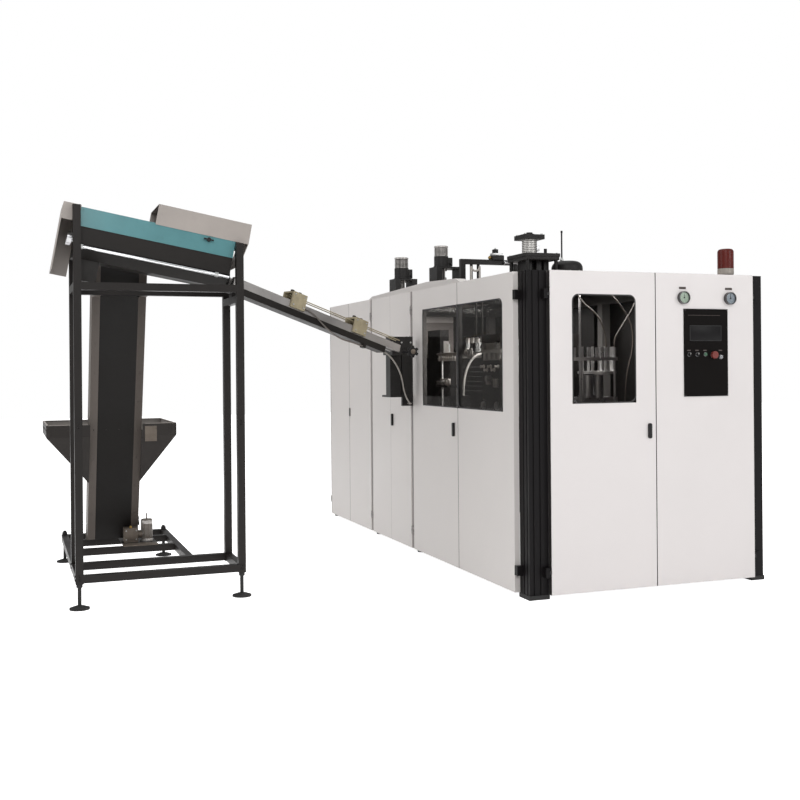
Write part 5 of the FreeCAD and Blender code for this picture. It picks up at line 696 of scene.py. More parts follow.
def loop_pipe(foot: Point, rise: float, reach: float, radius: float, finish: Any) -> Piece:
    """Model a pipe that rises, turns over in a half circle along +X and comes down again.

    Args:
        foot: the middle of its lower end in millimetres.
        rise: how far it runs straight up.
        reach: how far apart its two legs stand.
        radius: the pipe's radius.
        finish: its finish.

    Returns:
        The new object.
    """
    clear_selection()
    bpy.ops.mesh.primitive_circle_add(vertices=20, radius=radius * MM, fill_type="NGON",
                                      location=Vector(foot) * MM)
    piece = bpy.context.object
    bpy.ops.object.transform_apply(location=True, rotation=True, scale=True)
    bpy.ops.object.mode_set(mode="EDIT")
    bpy.ops.mesh.select_all(action="SELECT")
    bpy.ops.mesh.extrude_region_move(TRANSFORM_OT_translate={"value": (0.0, 0.0, rise * MM)})
    middle = (Vector(foot) + Vector((reach / 2.0, 0.0, rise))) * MM
    bpy.ops.mesh.spin(steps=14, angle=math.pi, center=middle, axis=DEEP)
    bpy.ops.mesh.extrude_region_move(TRANSFORM_OT_translate={"value": (0.0, 0.0, -rise * MM)})
    close_mesh()
    return settle(piece, finish)


def screws(places: Sequence[Point], facing: Point, radius: float = 5.0, head: float = 3.5,
           finish: Any = ZINC) -> list[Piece]:
    """Model one cap screw with a hexagon socket and copy it to every place.

    Args:
        places: where each stands, in millimetres, on the surface that it holds.
        facing: the direction that the heads face.
        radius: the head's radius.
        head: the head's height.
        finish: its finish, zinc plated steel as a rule.

    Returns:
        The screws.
    """
    start, axis, sunk = Vector(places[0]), Vector(facing).normalized(), 0.6
    piece = turned(tuple(start - axis * sunk), tuple(axis), [(0.0, radius), (sunk + head, radius)], finish,
                   14, 0.5)
    bpy.ops.object.mode_set(mode="EDIT")
    choose_faces(cap_towards(axis))
    bpy.ops.mesh.inset(thickness=radius * 0.42 * MM)
    bpy.ops.mesh.extrude_region_move(TRANSFORM_OT_translate={"value": axis * (-head * 0.6 * MM)})
    bpy.ops.object.mode_set(mode="OBJECT")
    return copies(piece, [tuple(Vector(spot) - start) for spot in places[1:]])


def figure(words: str, place: Point, size: float, turn: Point, finish: Any) -> Piece:
    """Set a figure as a thin mesh, standing on a surface.

    Args:
        words: the figure.
        place: its middle, in millimetres.
        size: its height in millimetres.
        turn: its rotation in degrees.
        finish: its finish.

    Returns:
        The new object.
    """
    clear_selection()
    bpy.ops.object.text_add(location=Vector(place) * MM, rotation=[math.radians(v) for v in turn])
    text = bpy.context.object
    text.data.body = words
    text.data.size = size * MM
    text.data.align_x = "CENTER"
    text.data.align_y = "CENTER"
    text.data.extrude = 0.15 * MM
    text.data.resolution_u = 3
    bpy.ops.object.convert(target="MESH")
    return settle(bpy.context.object, finish)


def joined(name: str, pieces: Sequence[Piece], body: str = "machine") -> None:
    """Join pieces into one object that rides on a body.

    Args:
        name: the joined piece's name.
        pieces: the objects.
        body: the body that it rides on.
    """
    clear_selection()
    for piece in pieces:
        piece.select_set(True)
    whole = bpy.context.view_layer.objects.active = pieces[0]
    if len(pieces) > 1:
        bpy.ops.object.join()
    whole.name = name
    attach(whole, body)
    log.info("%s rides on %s", name, body)


# ===== Hoses =====

@dataclass(frozen=True)
class Hose:
    """A polyurethane hose between two fittings, on the points of its route."""

    name: str
    points: Sequence[Point]
    bore: float
    length: float
    lay: str
    finish: Finish

    def build(self) -> None:
        curve = bpy.data.curves.new(self.name, "CURVE")
        curve.dimensions = "3D"
        curve.bevel_depth = self.bore / 2.0
        curve.bevel_resolution = 5
        curve.resolution_u = 16
        curve.use_fill_caps = True
        spline = curve.splines.new("NURBS")
        spline.points.add(len(self.points) - 1)
        for spot, place in zip(spline.points, self.points):
            spot.co = (*place, 1.0)
        spline.order_u = 3
        spline.use_endpoint_u = True
        piece = bpy.data.objects.new(self.name, curve)
        bpy.context.collection.objects.link(piece)
        piece.data.materials.append(self.finish.material())
        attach(piece, "machine")
        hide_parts("air_hoses")
        log.info("%s: hose of %.0f mm", self.name, self.length * 1000.0)


def on_chute(x: float, y: float, z: float) -> Point:
    """Turn a point beside the chute, in millimetres along, across and up from its top end, into metres."""
    tilt, heading = math.radians(CHUTE_TILT), math.radians(CHUTE_HEADING)
    along = x * math.cos(tilt) + z * math.sin(tilt)
    up = -x * math.sin(tilt) + z * math.cos(tilt)
    return ((CHUTE_TOP[0] + along * math.cos(heading) - y * math.sin(heading)) * MM,
            (CHUTE_TOP[1] + along * math.sin(heading) + y * math.cos(heading)) * MM,
            (CHUTE_TOP[2] + up) * MM)


def hoses() -> None:
    """Build the six air hoses."""
    long_route = (on_chute(470, -55, -26), on_chute(550, -55, -26), on_chute(690, -55, -98),
                  on_chute(850, -55, -140), on_chute(1000, -55, -126), on_chute(1085, -55, -126))
    lower_route = (on_chute(1330, 0, -90), on_chute(1410, 0, -90), (-0.370, 1.640, 1.575),
                   (-0.300, 1.715, 1.470), (-0.262, 1.772, 1.350), (-0.200, 1.815, 1.262),
                   (-0.150, 1.890, 1.255), (-0.150, 1.981, 1.255))
    inner_route = ((0.330, 1.400, 1.670), (0.250, 1.400, 1.670), (0.160, 1.400, 1.605),
                   (0.105, 1.400, 1.445), (0.105, 1.400, 1.330))
    first_route = ((0.465, 0.247, 2.1497), (0.465, 0.247, 2.0997), (0.525, 0.247, 2.0097),
                   (0.6468, 0.247, 1.9297), (0.7068, 0.247, 1.810), (0.7168, 0.247, 1.750),
                   (0.7168, 0.247, 1.690))
    second_route = ((0.740, 0.247, 2.1497), (0.740, 0.247, 2.0897), (0.830, 0.247, 2.0097),
                    (0.930, 0.247, 1.8797), (0.950, 0.247, 1.6997), (0.890, 0.247, 1.5197),
                    (0.870, 0.247, 1.300), (0.870, 0.247, 1.180))
    third_route = ((0.960, 0.205, 2.1497), (0.960, 0.205, 2.0997), (0.930, 0.205, 1.9897),
                   (0.850, 0.215, 1.8697), (0.797, 0.237, 1.7797), (0.787, 0.247, 1.740),
                   (0.787, 0.247, 1.690))
    for name, route, bore, length, lay, finish in (
            ("chute_hose", long_route, 0.012, 0.635, "loose", HOSE_DARK),
            ("door_hose", lower_route, 0.012, 0.800, "hanging", HOSE_GREY),
            ("oven_hose", inner_route, 0.018, 0.469, "hanging", HOSE_WHITE),
            ("first_thin_hose", first_route, 0.010, 0.553, "loose", HOSE_DARK),
            ("second_thin_hose", second_route, 0.010, 1.045, "loose", HOSE_DARK),
            ("third_thin_hose", third_route, 0.010, 0.505, "loose", HOSE_DARK)):
        Hose(name, route, bore, length, lay, finish).build()


# ===== Front of the cabinet =====

@dataclass
class Windows:
    """The rubber seals round the three tinted panes and the strips where the two side panes meet."""

    strip: float = 9
    corner: float = 50
    outer: float = -110.8
    pane: float = -107.5

    def build(self) -> None:
        """Model the seals and the black strips where the two side panes meet."""
        for name, low, high, body in (("pane_strip_near", 1012, 1019.4, "side_1"),
                                      ("pane_strip_far", 1023.6, 1030, "side_2")):
            strip = block((self.outer, low, 1243), (self.pane - 0.5, high, 2036), SEAL_RUBBER, 0.4)
            joined(name, [strip], body)
        for name, low, high, axis, body in (("front_window_seal", (240, self.outer, 1304),
                                             (737, self.pane, 2044), 1, "front_left"),
                                            ("side_window_seal_near", (self.outer, 235, 1246),
                                             (self.pane, 1014, 2033), 0, "side_1"),
                                            ("side_window_seal_far", (self.outer, 1026, 1246),
                                             (self.pane, 1740, 2033), 0, "side_2")):
            seal = ring_frame(low, high, self.strip, self.corner, SEAL_RUBBER, axis)
            joined(name, [seal], body)


@dataclass
class DoorSeal:
    """The rubber strip on the left corner post that closes the slit behind the door's hinged edge."""

    low: Point = (57, -69.4, 40)
    high: Point = (96, -65.5, 2185)

    def build(self) -> None:
        """Model the strip."""
        joined("post_seal", [block(self.low, self.high, SEAL_RUBBER, 0.6)])


@dataclass
class Dial:
    """One pressure gauge's dial: printed face, hub, glass, scale and figures."""

    side: str
    across: float
    up: float
    face: Any
    radius: float = 38.7
    plane: float = -127.9
    sweep: float = 270
    figure_radius: float = 22.5
    figure_size: float = 7.5

    def build(self) -> None:
        """Model the dial and join it."""
        pieces = [self.plate(), self.hub(), self.glass()] + self.scale() + self.figures()
        joined(self.side + "_gauge_dial", pieces, "front_right")

    def plate(self) -> Piece:
        """Turn the printed face with a fine raised edge."""
        return turned((self.across, self.plane + 0.4, self.up), FRONT,
                      [(0, self.radius), (0.9, self.radius), (1.5, self.radius - 1.5)], self.face, 64, 0)

    def hub(self) -> Piece:
        """Turn the cap over the needle's pin."""
        return turned((self.across, self.plane - 3.3, self.up), FRONT, [(0, 5), (1.2, 5), (2.4, 3.2)],
                      BLACK_NYLON, 28, 0.3)

    def glass(self) -> Piece:
        """Turn the flat glass that closes the rim."""
        return turned((self.across, self.plane - 7.2, self.up), FRONT,
                      [(0, self.radius), (1.4, self.radius)], GAUGE_GLASS, 64, 0.3)

    def scale(self) -> list[Piece]:
        """Model one long and one short mark and repeat each over the dial's sweep."""
        low = self.up - self.radius + 3
        edge = self.plane - 0.5
        centre = (self.across, 0, self.up)
        marks = []
        for kind, half, tall, count in (("long", 0.9, 9, 7), ("short", 0.5, 5, 31)):
            mark = block((self.across - half, edge - 0.5, low), (self.across + half, edge, low + tall),
                         BLACK_NYLON, 0)
            mark.data.transform(turn_about(centre, DEEP, 180 - self.sweep / 2))
            marks += around(mark, centre, DEEP, count, self.sweep)
        return marks

    def figures(self) -> list[Piece]:
        """Set the scale's figures beside its long marks."""
        made = []
        for order, words in enumerate(("0", "2", "4", "6", "8", "10", "12")):
            angle = math.radians((order / 6 - 0.5) * self.sweep)
            place = (self.across + math.sin(angle) * self.figure_radius, self.plane - 0.7,
                     self.up + math.cos(angle) * self.figure_radius)
            made.append(figure(words, place, self.figure_size, (90, 0, 0), BLACK_NYLON))
        return made


@dataclass
class Console:
    """The black control console's small parts: screen, selectors, collars, plates and lines."""

    plate: float = -116
    screen: tuple[float, float, float, float] = (1170, 1439, 1726, 1839)
    row: float = 1632
    selectors: tuple[float, float] = (1164, 1231)

    def build(self) -> None:
        """Model each part of the console."""
        self.display()
        self.switches()
        self.collars()
        self.trim()
        Dial("left", 1120, 2030, GREEN_DIAL).build()
        Dial("right", 1509, 2030, BLUE_DIAL).build()

    def display(self) -> None:
        """Model the screen's bezel and its dark glass."""
        left, right, low, high = self.screen
        bezel = ring_frame((left + 1, self.plate - 1.4, low + 1), (right - 1, self.plate + 1.5, high - 1),
                           7, 4, BLACK_NYLON)
        glass = block((left + 7, self.plate - 0.6, low + 7), (right - 7, self.plate + 1.6, high - 7),
                      SCREEN_GLASS, 0.3)
        joined("touch_screen", [bezel, glass], "front_right")

    def switches(self) -> None:
        """Model a selector with its ring, knob, grip and white mark, and copy it."""
        x, y, z = self.selectors[0], self.plate, self.row
        ring = turned((x, y + 0.5, z), FRONT, [(0, 15.5), (4, 15.5), (6, 13.5)], DARK_RIM, 36, 0.5)
        knob = turned((x, y - 5, z), FRONT, [(0, 12), (6, 11.5)], BLACK_NYLON, 32, 0.6)
        grip = block((x - 3.5, y - 22, z - 11), (x + 3.5, y - 9, z + 11), BLACK_NYLON, 1.2)
        mark = block((x - 1.3, y - 22.5, z + 1), (x + 1.3, y - 21.5, z + 11.4), WHITE_INK, 0)
        row = [ring, knob, grip, mark]
        for piece in (ring, knob, grip, mark):
            row += copies(piece, [(self.selectors[1] - x, 0, 0)])[1:]
        joined("selector_switches", row, "front_right")

    def collars(self) -> None:
        """Turn the rings round the push buttons and the key, and the plates over them."""
        pieces = []
        for x, z, wide, tall in ((1369, 1629, 25, 3), (1428, 1615, 16, 3), (1298, 1634, 15.5, 5)):
            pieces.append(turned((x, self.plate + 0.5, z), FRONT,
                                 [(0, wide), (tall, wide), (tall + 1, wide - 1.5)], DARK_RIM, 40, 0.4))
        for x in (1164, 1231, 1298, 1428):
            pieces.append(block((x - 15, self.plate - 0.8, self.row + 25),
                                (x + 15, self.plate + 0.2, self.row + 33), TAG_BROWN, 0.2))
        joined("button_collars", pieces, "front_right")

    def trim(self) -> None:
        """Model the thin line, the blank plates over the gauges and the corner screws."""
        line = block((1159, self.plate - 0.8, 1906.6), (1427, self.plate + 0.2, 1909.4), TAG_BROWN, 0)
        plates = [block((1090, -111.4, 2090), (1146, -109.6, 2106), TAG_BROWN, 0.3),
                  block((1476, -111.4, 2090), (1535, -109.6, 2106), TAG_BROWN, 0.3)]
        corners = [(x, self.plate, z) for x in (1133, 1484) for z in (1346, 1945)]
        heads = screws(corners, FRONT, 4, 2, DARK_RIM)
        joined("console_trim", [line] + plates + heads, "front_right")


@dataclass
class Levers:
    """Round escutcheons behind the three lever handles."""

    def build(self) -> None:
        """Turn each escutcheon on its own door."""
        for name, place, facing, body in (("front_escutcheon", (840, -110, 1148), FRONT, "front_left"),
                                          ("side_2_escutcheon", (-110, 1090, 1121), LEFT, "side_2"),
                                          ("side_3_escutcheon", (-110, 2465, 1138), LEFT, "side_3")):
            rose = turned(tuple(Vector(place) - Vector(facing) * 0.5), facing,
                          [(0, 10.5), (1.6, 10.5), (2.4, 9.5)], BLACK_NYLON, 32, 0.3)
            joined(name, [rose], body)


@dataclass
class Beacon:
    """The rings of the beacon's lens and the ribs of its collar."""

    across: float = 1546
    into: float = -27
    seat: float = 2250
    rings: int = 6
    ribs: int = 28

    def build(self) -> None:
        """Turn the lens rings and repeat one rib round the collar."""
        x, y = self.across, self.into
        rings = [turned((x, y, self.seat + 14 + 18 * order), UP, [(0, 56.8), (1.5, 57.6), (3, 56.8)],
                        BEACON_RED, 72, 0) for order in range(self.rings)]
        joined("beacon_lens_rings", rings)
        first = block((x - 1.5, y - 57.2, self.seat - 38), (x + 1.5, y - 54, self.seat - 4), BEACON_GREY,
                      0.4)
        ribs = around(first, (x, y, 0), UP, self.ribs)
        joined("beacon_collar_ribs", ribs)


# ===== Roof =====

@dataclass
class RoofMotor:
    """One motor on the roof: cooling rings, fan cover, band, terminal lid, gland and coupling."""

    side: str
    across: float
    into: float
    stand_top: float
    shoulder: float
    crown: float
    top: float
    rings: int = 7
    roof: float = 2206

    def build(self) -> None:
        """Model the motor's small parts and join them."""
        joined(self.side + "_motor_rings", self.cooling())
        joined(self.side + "_motor_cover", self.cover())
        joined(self.side + "_stand_filling", self.filling())

    def cooling(self) -> list[Piece]:
        """Turn one flat cooling ring and stack it up the upper tier."""
        low = (self.stand_top + self.top) / 2 + 3
        ring = turned((self.across, self.into, low), UP,
                      [(0, self.crown - 1), (0, self.shoulder - 2), (4, self.shoulder - 2),
                       (4, self.crown - 1)], MOTOR_GREY, 48, 0)
        pitch = (self.top - 16 - low) / self.rings
        return copies(ring, [(0, 0, pitch * step) for step in range(1, self.rings)])

    def cover(self) -> list[Piece]:
        """Turn the fan cover, the band and the cable gland, lid the terminal box and set the bolts."""
        x, y = self.across, self.into
        wide = self.shoulder
        dished = [(0, wide - 1), (13, wide - 1), (17, wide - 9), (18, wide - 30), (17, wide - 32)]
        cap = turned((x, y, self.top - 15), UP, dished, MOTOR_GREY, 48, 1)
        band = turned((x, y, self.stand_top + 2), UP, [(0, wide + 4), (9, wide + 4), (10, wide)],
                      MOTOR_DARK, 48, 0.8)
        lid = block((x + wide + 28, y - 27, self.stand_top + 11),
                    (x + wide + 33, y + 27, (self.stand_top + self.top) / 2 - 11), BLACK_NYLON, 1.2)
        gland = turned((x + wide + 14, y - 29, self.stand_top + 30), FRONT,
                       [(0, 10), (8, 10), (9, 8), (18, 7)], BLACK_NYLON, 12, 0.5)
        bolt = screws([(x + wide - 3, y, self.top - 2)], UP, 3.6, 2.6)[0]
        return [cap, band, lid, gland] + around(bolt, (x, y, 0), UP, 6)

    def filling(self) -> list[Piece]:
        """Turn the coupling inside the stand and model the two ribs beside it."""
        x, y, low, high = self.across, self.into, self.roof, self.stand_top - 14
        tall = high - low
        coupling = turned((x, y, low - 1), UP, [(0, 52), (12, 52), (13, 34), (tall * 0.42, 34),
                                                (tall * 0.43, 44), (tall * 0.60, 44), (tall * 0.61, 30),
                                                (tall * 0.9, 30), (tall * 0.91, 48), (tall + 2, 48)],
                          CAST_GREY, 40, 1)
        rib = block((x - 3, y - 80, low), (x + 3, y - 40, high), CAST_GREY, 1)
        return [coupling] + copies(rib, [(0, 120, 0)])


@dataclass
class RoofGear:
    """Small parts of the stretch cylinder, the roof's pipes, the portal's valve and the dome."""

    roof: float = 2198
    cylinder_at: tuple[float, float] = (390, 790)
    dome_at: tuple[float, float] = (710, 790)
    mast: float = 665
    pipe_row: float = 1352
    bands: int = 8

    def build(self) -> None:
        """Model each group on the roof."""
        self.cylinder()
        self.pipes()
        self.valve()
        self.dome()

    def cylinder(self) -> None:
        """Band and bolt the stretch cylinder and stand its slab on three guide towers."""
        x, y = self.cylinder_at
        band = turned((x, y, 2408), UP, [(0, 54.5), (0.6, 57.2), (3.4, 57.2), (4, 54.5)], MOTOR_DARK, 56, 0)
        bands = copies(band, [(0, 0, 13 * step) for step in range(1, self.bands)])
        base = turned((x, y, 2399), UP, [(0, 66), (7, 66), (8.5, 60)], MOTOR_DARK, 56, 0.6)
        bolts = screws([(x + dx, y + dy, 2547) for dx in (-68, 68) for dy in (-68, 68)], UP, 9, 8)
        head = turned((x, y, 2546), UP, [(0, 40), (10, 40), (12, 26), (22, 24)], MOTOR_DARK, 40, 1)
        port = block((x + 50, y - 16, 2430), (x + 78, y + 16, 2470), ALUMINIUM, 1.5)
        deck_bolts = screws([(dx, dy, 2400) for dx in (298, 546) for dy in (648, 932)], UP, 8, 6)
        slab = block((284, 634, 2350), (560, 946, 2376), MOTOR_DARK, 2)
        tower = block((330, 712, 2197), (372, 868, 2352), MOTOR_DARK, 2)
        towers = copies(tower, [(78, 0, 0), (140, 0, 0)])
        joined("stretch_slab", [slab] + towers)
        joined("stretch_cylinder_bands", bands + [base, head, port])
        joined("stretch_cylinder_bolts", bolts + deck_bolts)

    def pipes(self) -> None:
        """Bend the looped pipe and run the level pipe beside the portal."""
        loop = loop_pipe((160, self.pipe_row, self.roof - 1), 164, 74, 8.5, PALE_PIPE)
        nuts = [turned((x, self.pipe_row, self.roof - 1), UP, [(0, 15), (14, 15), (16, 11), (30, 11)], ZINC,
                       6, 0.6) for x in (160, 234)]
        level = turned((452, 1360, 2397), RIGHT, [(0, 14), (10, 14), (11, 10), (112, 10), (113, 14),
                                                  (124, 14)], STAINLESS, 24, 0.5)
        joined("looped_pipe", [loop] + nuts)
        joined("level_pipe", [level])

    def valve(self) -> None:
        """Model the valve's body, coil, nut and port on the portal's head."""
        body = block((356, 1362, 2454), (444, 1418, 2474), ALUMINIUM, 2)
        coil = block((372, 1368, 2473), (408, 1412, 2506), BLACK_NYLON, 3)
        nut = turned((390, 1390, 2505), UP, [(0, 9), (7, 9), (8, 5), (14, 5)], ZINC, 6, 0.6)
        port = turned((350.5, 1390, 2437), LEFT, [(0, 12), (10, 12), (11, 8), (22, 8)], BRASS, 6, 0.5)
        joined("portal_valve_parts", [body, coil, nut, port])

    def dome(self) -> None:
        """Set bolts round the dome's top flange and a ferrule and tip on its mast."""
        x, y = self.dome_at
        bolt = screws([(x + 124.5, y, 2279.5)], UP, 4.5, 5)[0]
        bolts = around(bolt, (x, y, 0), UP, 10)
        ferrule = turned((self.mast, y, 2357), UP, [(0, 13), (16, 13), (18, 9), (30, 9)], ZINC, 24, 0.6)
        tip = turned((self.mast, y, 2574), UP, [(0, 8), (16, 8), (18.5, 6)], BLACK_NYLON, 20, 0.5)
        joined("dome_bolts", bolts + [ferrule, tip])


# ===== Inside the cabinet =====

@dataclass
class OutletCurtain:
    """Soft black strips that hang in the bottle outlet at the rear."""

    left: float = 640
    strips: int = 7
    pitch: float = 60

    def build(self) -> None:
        """Model one strip and copy it across the outlet."""
        first = block((self.left + 2, 4447, 1124), (self.left + 59, 4450, 1563), SEAL_RUBBER, 0.8)
        steps = [(self.pitch * order, 1.5 if order % 2 else 0, 0) for order in range(1, self.strips)]
        joined("outlet_curtain", copies(first, steps))


@dataclass
class ValveRack:
    """The rack of pipes, regulators and valves seen through the side windows."""

    deck: float = 1100

    def build(self) -> None:
        """Model the rack, the hanging fittings and the fittings on the press."""
        self.rack()
        self.hanging()
        self.on_press()

    def rack(self) -> None:
        """Stand two posts on the deck and join them with two rails and a base that carry fittings."""
        foot_and_tube = [(0, 16), (8, 16), (9, 8), (561, 8)]
        posts = [turned((48, y, self.deck - 0.5), UP, foot_and_tube, ALUMINIUM, 20, 0.6)
                 for y in (1396, 1700)]
        high = block((34, 1380, 1659), (62, 1790, 1675), PALE_PIPE, 2)
        low = block((36, 1550, 1450), (60, 1722, 1464), PALE_PIPE, 2)
        base = block((28, 1378, 1395), (66, 1800, 1414), MOTOR_DARK, 2)
        joined("rack_frame", posts + [high, low])
        cup = turned((48, 1440, 1660), DOWN, [(0, 12), (12, 12), (13, 8), (24, 8), (25, 14), (52, 13)],
                     PALE_PIPE, 20, 0.8)
        cups = copies(cup, [(0, 46 * step, 0) for step in range(1, 8)])
        dial = turned((30, 1511, 1432), LEFT, [(0, 30), (16, 30), (18, 22), (34, 20)], PALE_PIPE, 32, 1.5)
        knob = turned((30, 1620, 1436), LEFT, [(0, 18), (12, 18), (14, 12), (26, 12)], CAST_GREY, 24, 1)
        block_row = block((20, 1655, 1413), (72, 1682, 1446), CAST_GREY, 2)
        valves = copies(block_row, [(0, 40, 0), (0, 80, 0)])
        joined("rack_fittings", cups + [dial, knob, base] + valves)

    def hanging(self) -> None:
        """Run a beam on from the pipe arm and hang four cups and two round valves from it."""
        beam = block((66, 1124, 1789), (104, 1300, 1799), MOTOR_DARK, 1.5)
        cup = turned((85, 1262, 1790), DOWN, [(0, 10), (6, 10), (7, 16), (42, 16), (46, 12)], WHITE_ACETAL,
                     24, 1)
        cups = copies(cup, [(0, -88 * step, 0) for step in range(1, 4)])
        hanger = block((80, 1186, 1640), (92, 1206, 1792), MOTOR_DARK, 1)
        wheel = turned((82, 1196, 1662), LEFT, [(0, 44), (10, 44), (12, 34), (24, 34), (26, 16), (40, 16)],
                       CAST_GREY, 36, 1.5)
        small = turned((86, 1262, 1676), LEFT, [(0, 30), (14, 30), (16, 20), (26, 18)], WHITE_ACETAL, 32,
                       1.5)
        arm = block((84, 1196, 1668), (94, 1270, 1684), CAST_GREY, 1)
        joined("hanging_fittings", [beam, hanger, wheel, small, arm] + cups)

    def on_press(self) -> None:
        """Screw five short fittings and two valve blocks to the left platen's outer face."""
        plug = turned((60.5, 655, 1560), LEFT, [(0, 15), (9, 15), (10, 9), (24, 9), (25, 12), (32, 11)],
                      WHITE_ACETAL, 6, 0.8)
        plugs = copies(plug, [(0, 62 * step, -26 if step % 2 else 0) for step in range(1, 5)])
        valve = block((34, 655, 1405), (60.5, 705, 1470), CAST_GREY, 2.5)
        valves = copies(valve, [(0, 120, 20)])
        joined("platen_fittings", plugs + valves)


@dataclass
class Preforms:
    """Milky PET preforms standing neck down on the chain's mandrels."""

    start: tuple[float, float] = (400, 1500)
    apart: float = 500
    pitch: float = 230
    seat: float = 1685
    count: int = 11
    profile: Sequence[tuple[float, float]] = (
        (0, 14.5), (3, 14.5), (3.6, 13.2), (7, 13.2), (7.6, 14.5), (10, 14.5), (10.6, 13.2), (19, 13.2),
        (19.6, 17), (22, 17), (22.6, 13.8), (98, 13.2), (105, 10.5), (109, 5), (110, 1.5))

    def build(self) -> None:
        """Turn one preform and copy it along both sides of the chain."""
        x, y = self.start
        first = turned((x, y, self.seat), UP, self.profile, PREFORM_PET, 28, 0)
        steps = [(across, self.pitch * order, 0) for across in (0, self.apart)
                 for order in range(self.count)]
        joined("preforms", copies(first, steps[1:]))


@dataclass
class PressParts:
    """The nuts of the press's tie bars and the bolts of its mould halves."""

    bar: Point = (60.5, 675, 1270)
    bars_apart: tuple[float, float] = (230, 440)
    bolt_start: float = 670
    bolt_pitch: float = 80

    def build(self) -> None:
        """Model each group."""
        nut = turned(self.bar, LEFT, [(0, 32), (16, 32), (17, 22), (24, 22)], ZINC, 6, 1.5)
        nuts = copies(nut, [(0, dy, dz) for dy in (0, self.bars_apart[0])
                            for dz in (0, self.bars_apart[1])][1:])
        joined("tie_bar_nuts", nuts)
        for side, x, body in (("left", 150, "mould_l"), ("right", 630, "mould_r")):
            heads = screws([(x, self.bolt_start + self.bolt_pitch * k, 1660) for k in range(4)], UP, 8, 6)
            joined(side + "_mould_bolts", heads, body)


# ===== Feeder, elevator and hopper =====

@dataclass
class HopperTrim:
    """The hopper's rim, the rivets under it, its corner straps and the plate beside the elevator."""

    left: float = -3050
    right: float = -2110
    near: float = 1790
    far: float = 2640
    lip: float = 1112
    top: float = 1150
    rim: float = 14
    slot: tuple[float, float] = (-2756, -2344)
    rivets: int = 10
    first_rivet: float = 60
    pitches: tuple[float, float] = (91, 81)

    def build(self) -> None:
        """Model the rivets, the straps, the rim and the plate beside the elevator."""
        across = [(self.left + self.first_rivet + self.pitches[0] * step, self.near, self.lip)
                  for step in range(self.rivets)]
        front = screws(across, FRONT, 4.5, 2, HOPPER_SHEET)
        deep = [(self.left, self.near + self.first_rivet + self.pitches[1] * step, self.lip)
                for step in range(self.rivets)]
        side = screws(deep, LEFT, 4.5, 2, HOPPER_SHEET)
        strap = block((self.left - 1.5, self.near - 1.5, self.lip - 46),
                      (self.left + 34, self.near + 0.5, self.lip + 34), HOPPER_SHEET, 0.5)
        straps = copies(strap, [(self.right - self.left - 33, 0, 0)])
        joined("hopper_rivets", front + side + straps)
        near, far = self.near + 1, self.far - 1
        spans = ((self.left + 1, near, self.left + 1 + self.rim, far),
                 (self.right - 1 - self.rim, near, self.right - 1, far),
                 (self.left + 1, near, self.slot[0], near + self.rim),
                 (self.slot[1], near, self.right - 1, near + self.rim),
                 (self.left + 1, far - self.rim, self.right - 1, far))
        rims = [block((x, y, self.top - 0.5), (end_x, end_y, self.top + 3), HOOD_GREY, 0.8)
                for x, y, end_x, end_y in spans]
        plate = block((self.slot[1], self.near - 2, 1016), (self.slot[1] + 88, self.near + 0.5, 1132),
                      DRIVE_GREY, 0.5)
        joined("hopper_rim", rims + [plate])


@dataclass
class FeederBolts:
    """Bolts at the joints of the feeder's frame."""

    def build(self) -> None:
        """Set the bolts on the near and the left faces of the posts."""
        near = [(x, 795, z) for x in (-2885, -1817) for z in (190, 214, 1180, 1204)]
        heads = screws(near, FRONT, 8, 6, FEEDER_PAINT)
        left = [(-2910, y, z) for y in (820, 1295) for z in (190, 214)]
        sides = screws(left, LEFT, 8, 6, FEEDER_PAINT)
        joined("feeder_bolts", heads + sides)


def on_elevator(x: float, y: float, z: float) -> Point:
    """Turn millimetres across, deep and along the elevator from its foot into a point of the frame."""
    tilt = math.radians(ELEVATOR_TILT)
    return (ELEVATOR_FOOT[0] + x, ELEVATOR_FOOT[1] + y * math.cos(tilt) - z * math.sin(tilt),
            ELEVATOR_FOOT[2] + y * math.sin(tilt) + z * math.cos(tilt))


def on_trough(x: float, y: float, z: float) -> Point:
    """Turn millimetres along, across and up from the trough's top end into a point of the frame."""
    tilt = math.radians(TROUGH_TILT)
    return (TROUGH_TOP[0] + x * math.cos(tilt) + z * math.sin(tilt), TROUGH_TOP[1] + y,
            TROUGH_TOP[2] - x * math.sin(tilt) + z * math.cos(tilt))


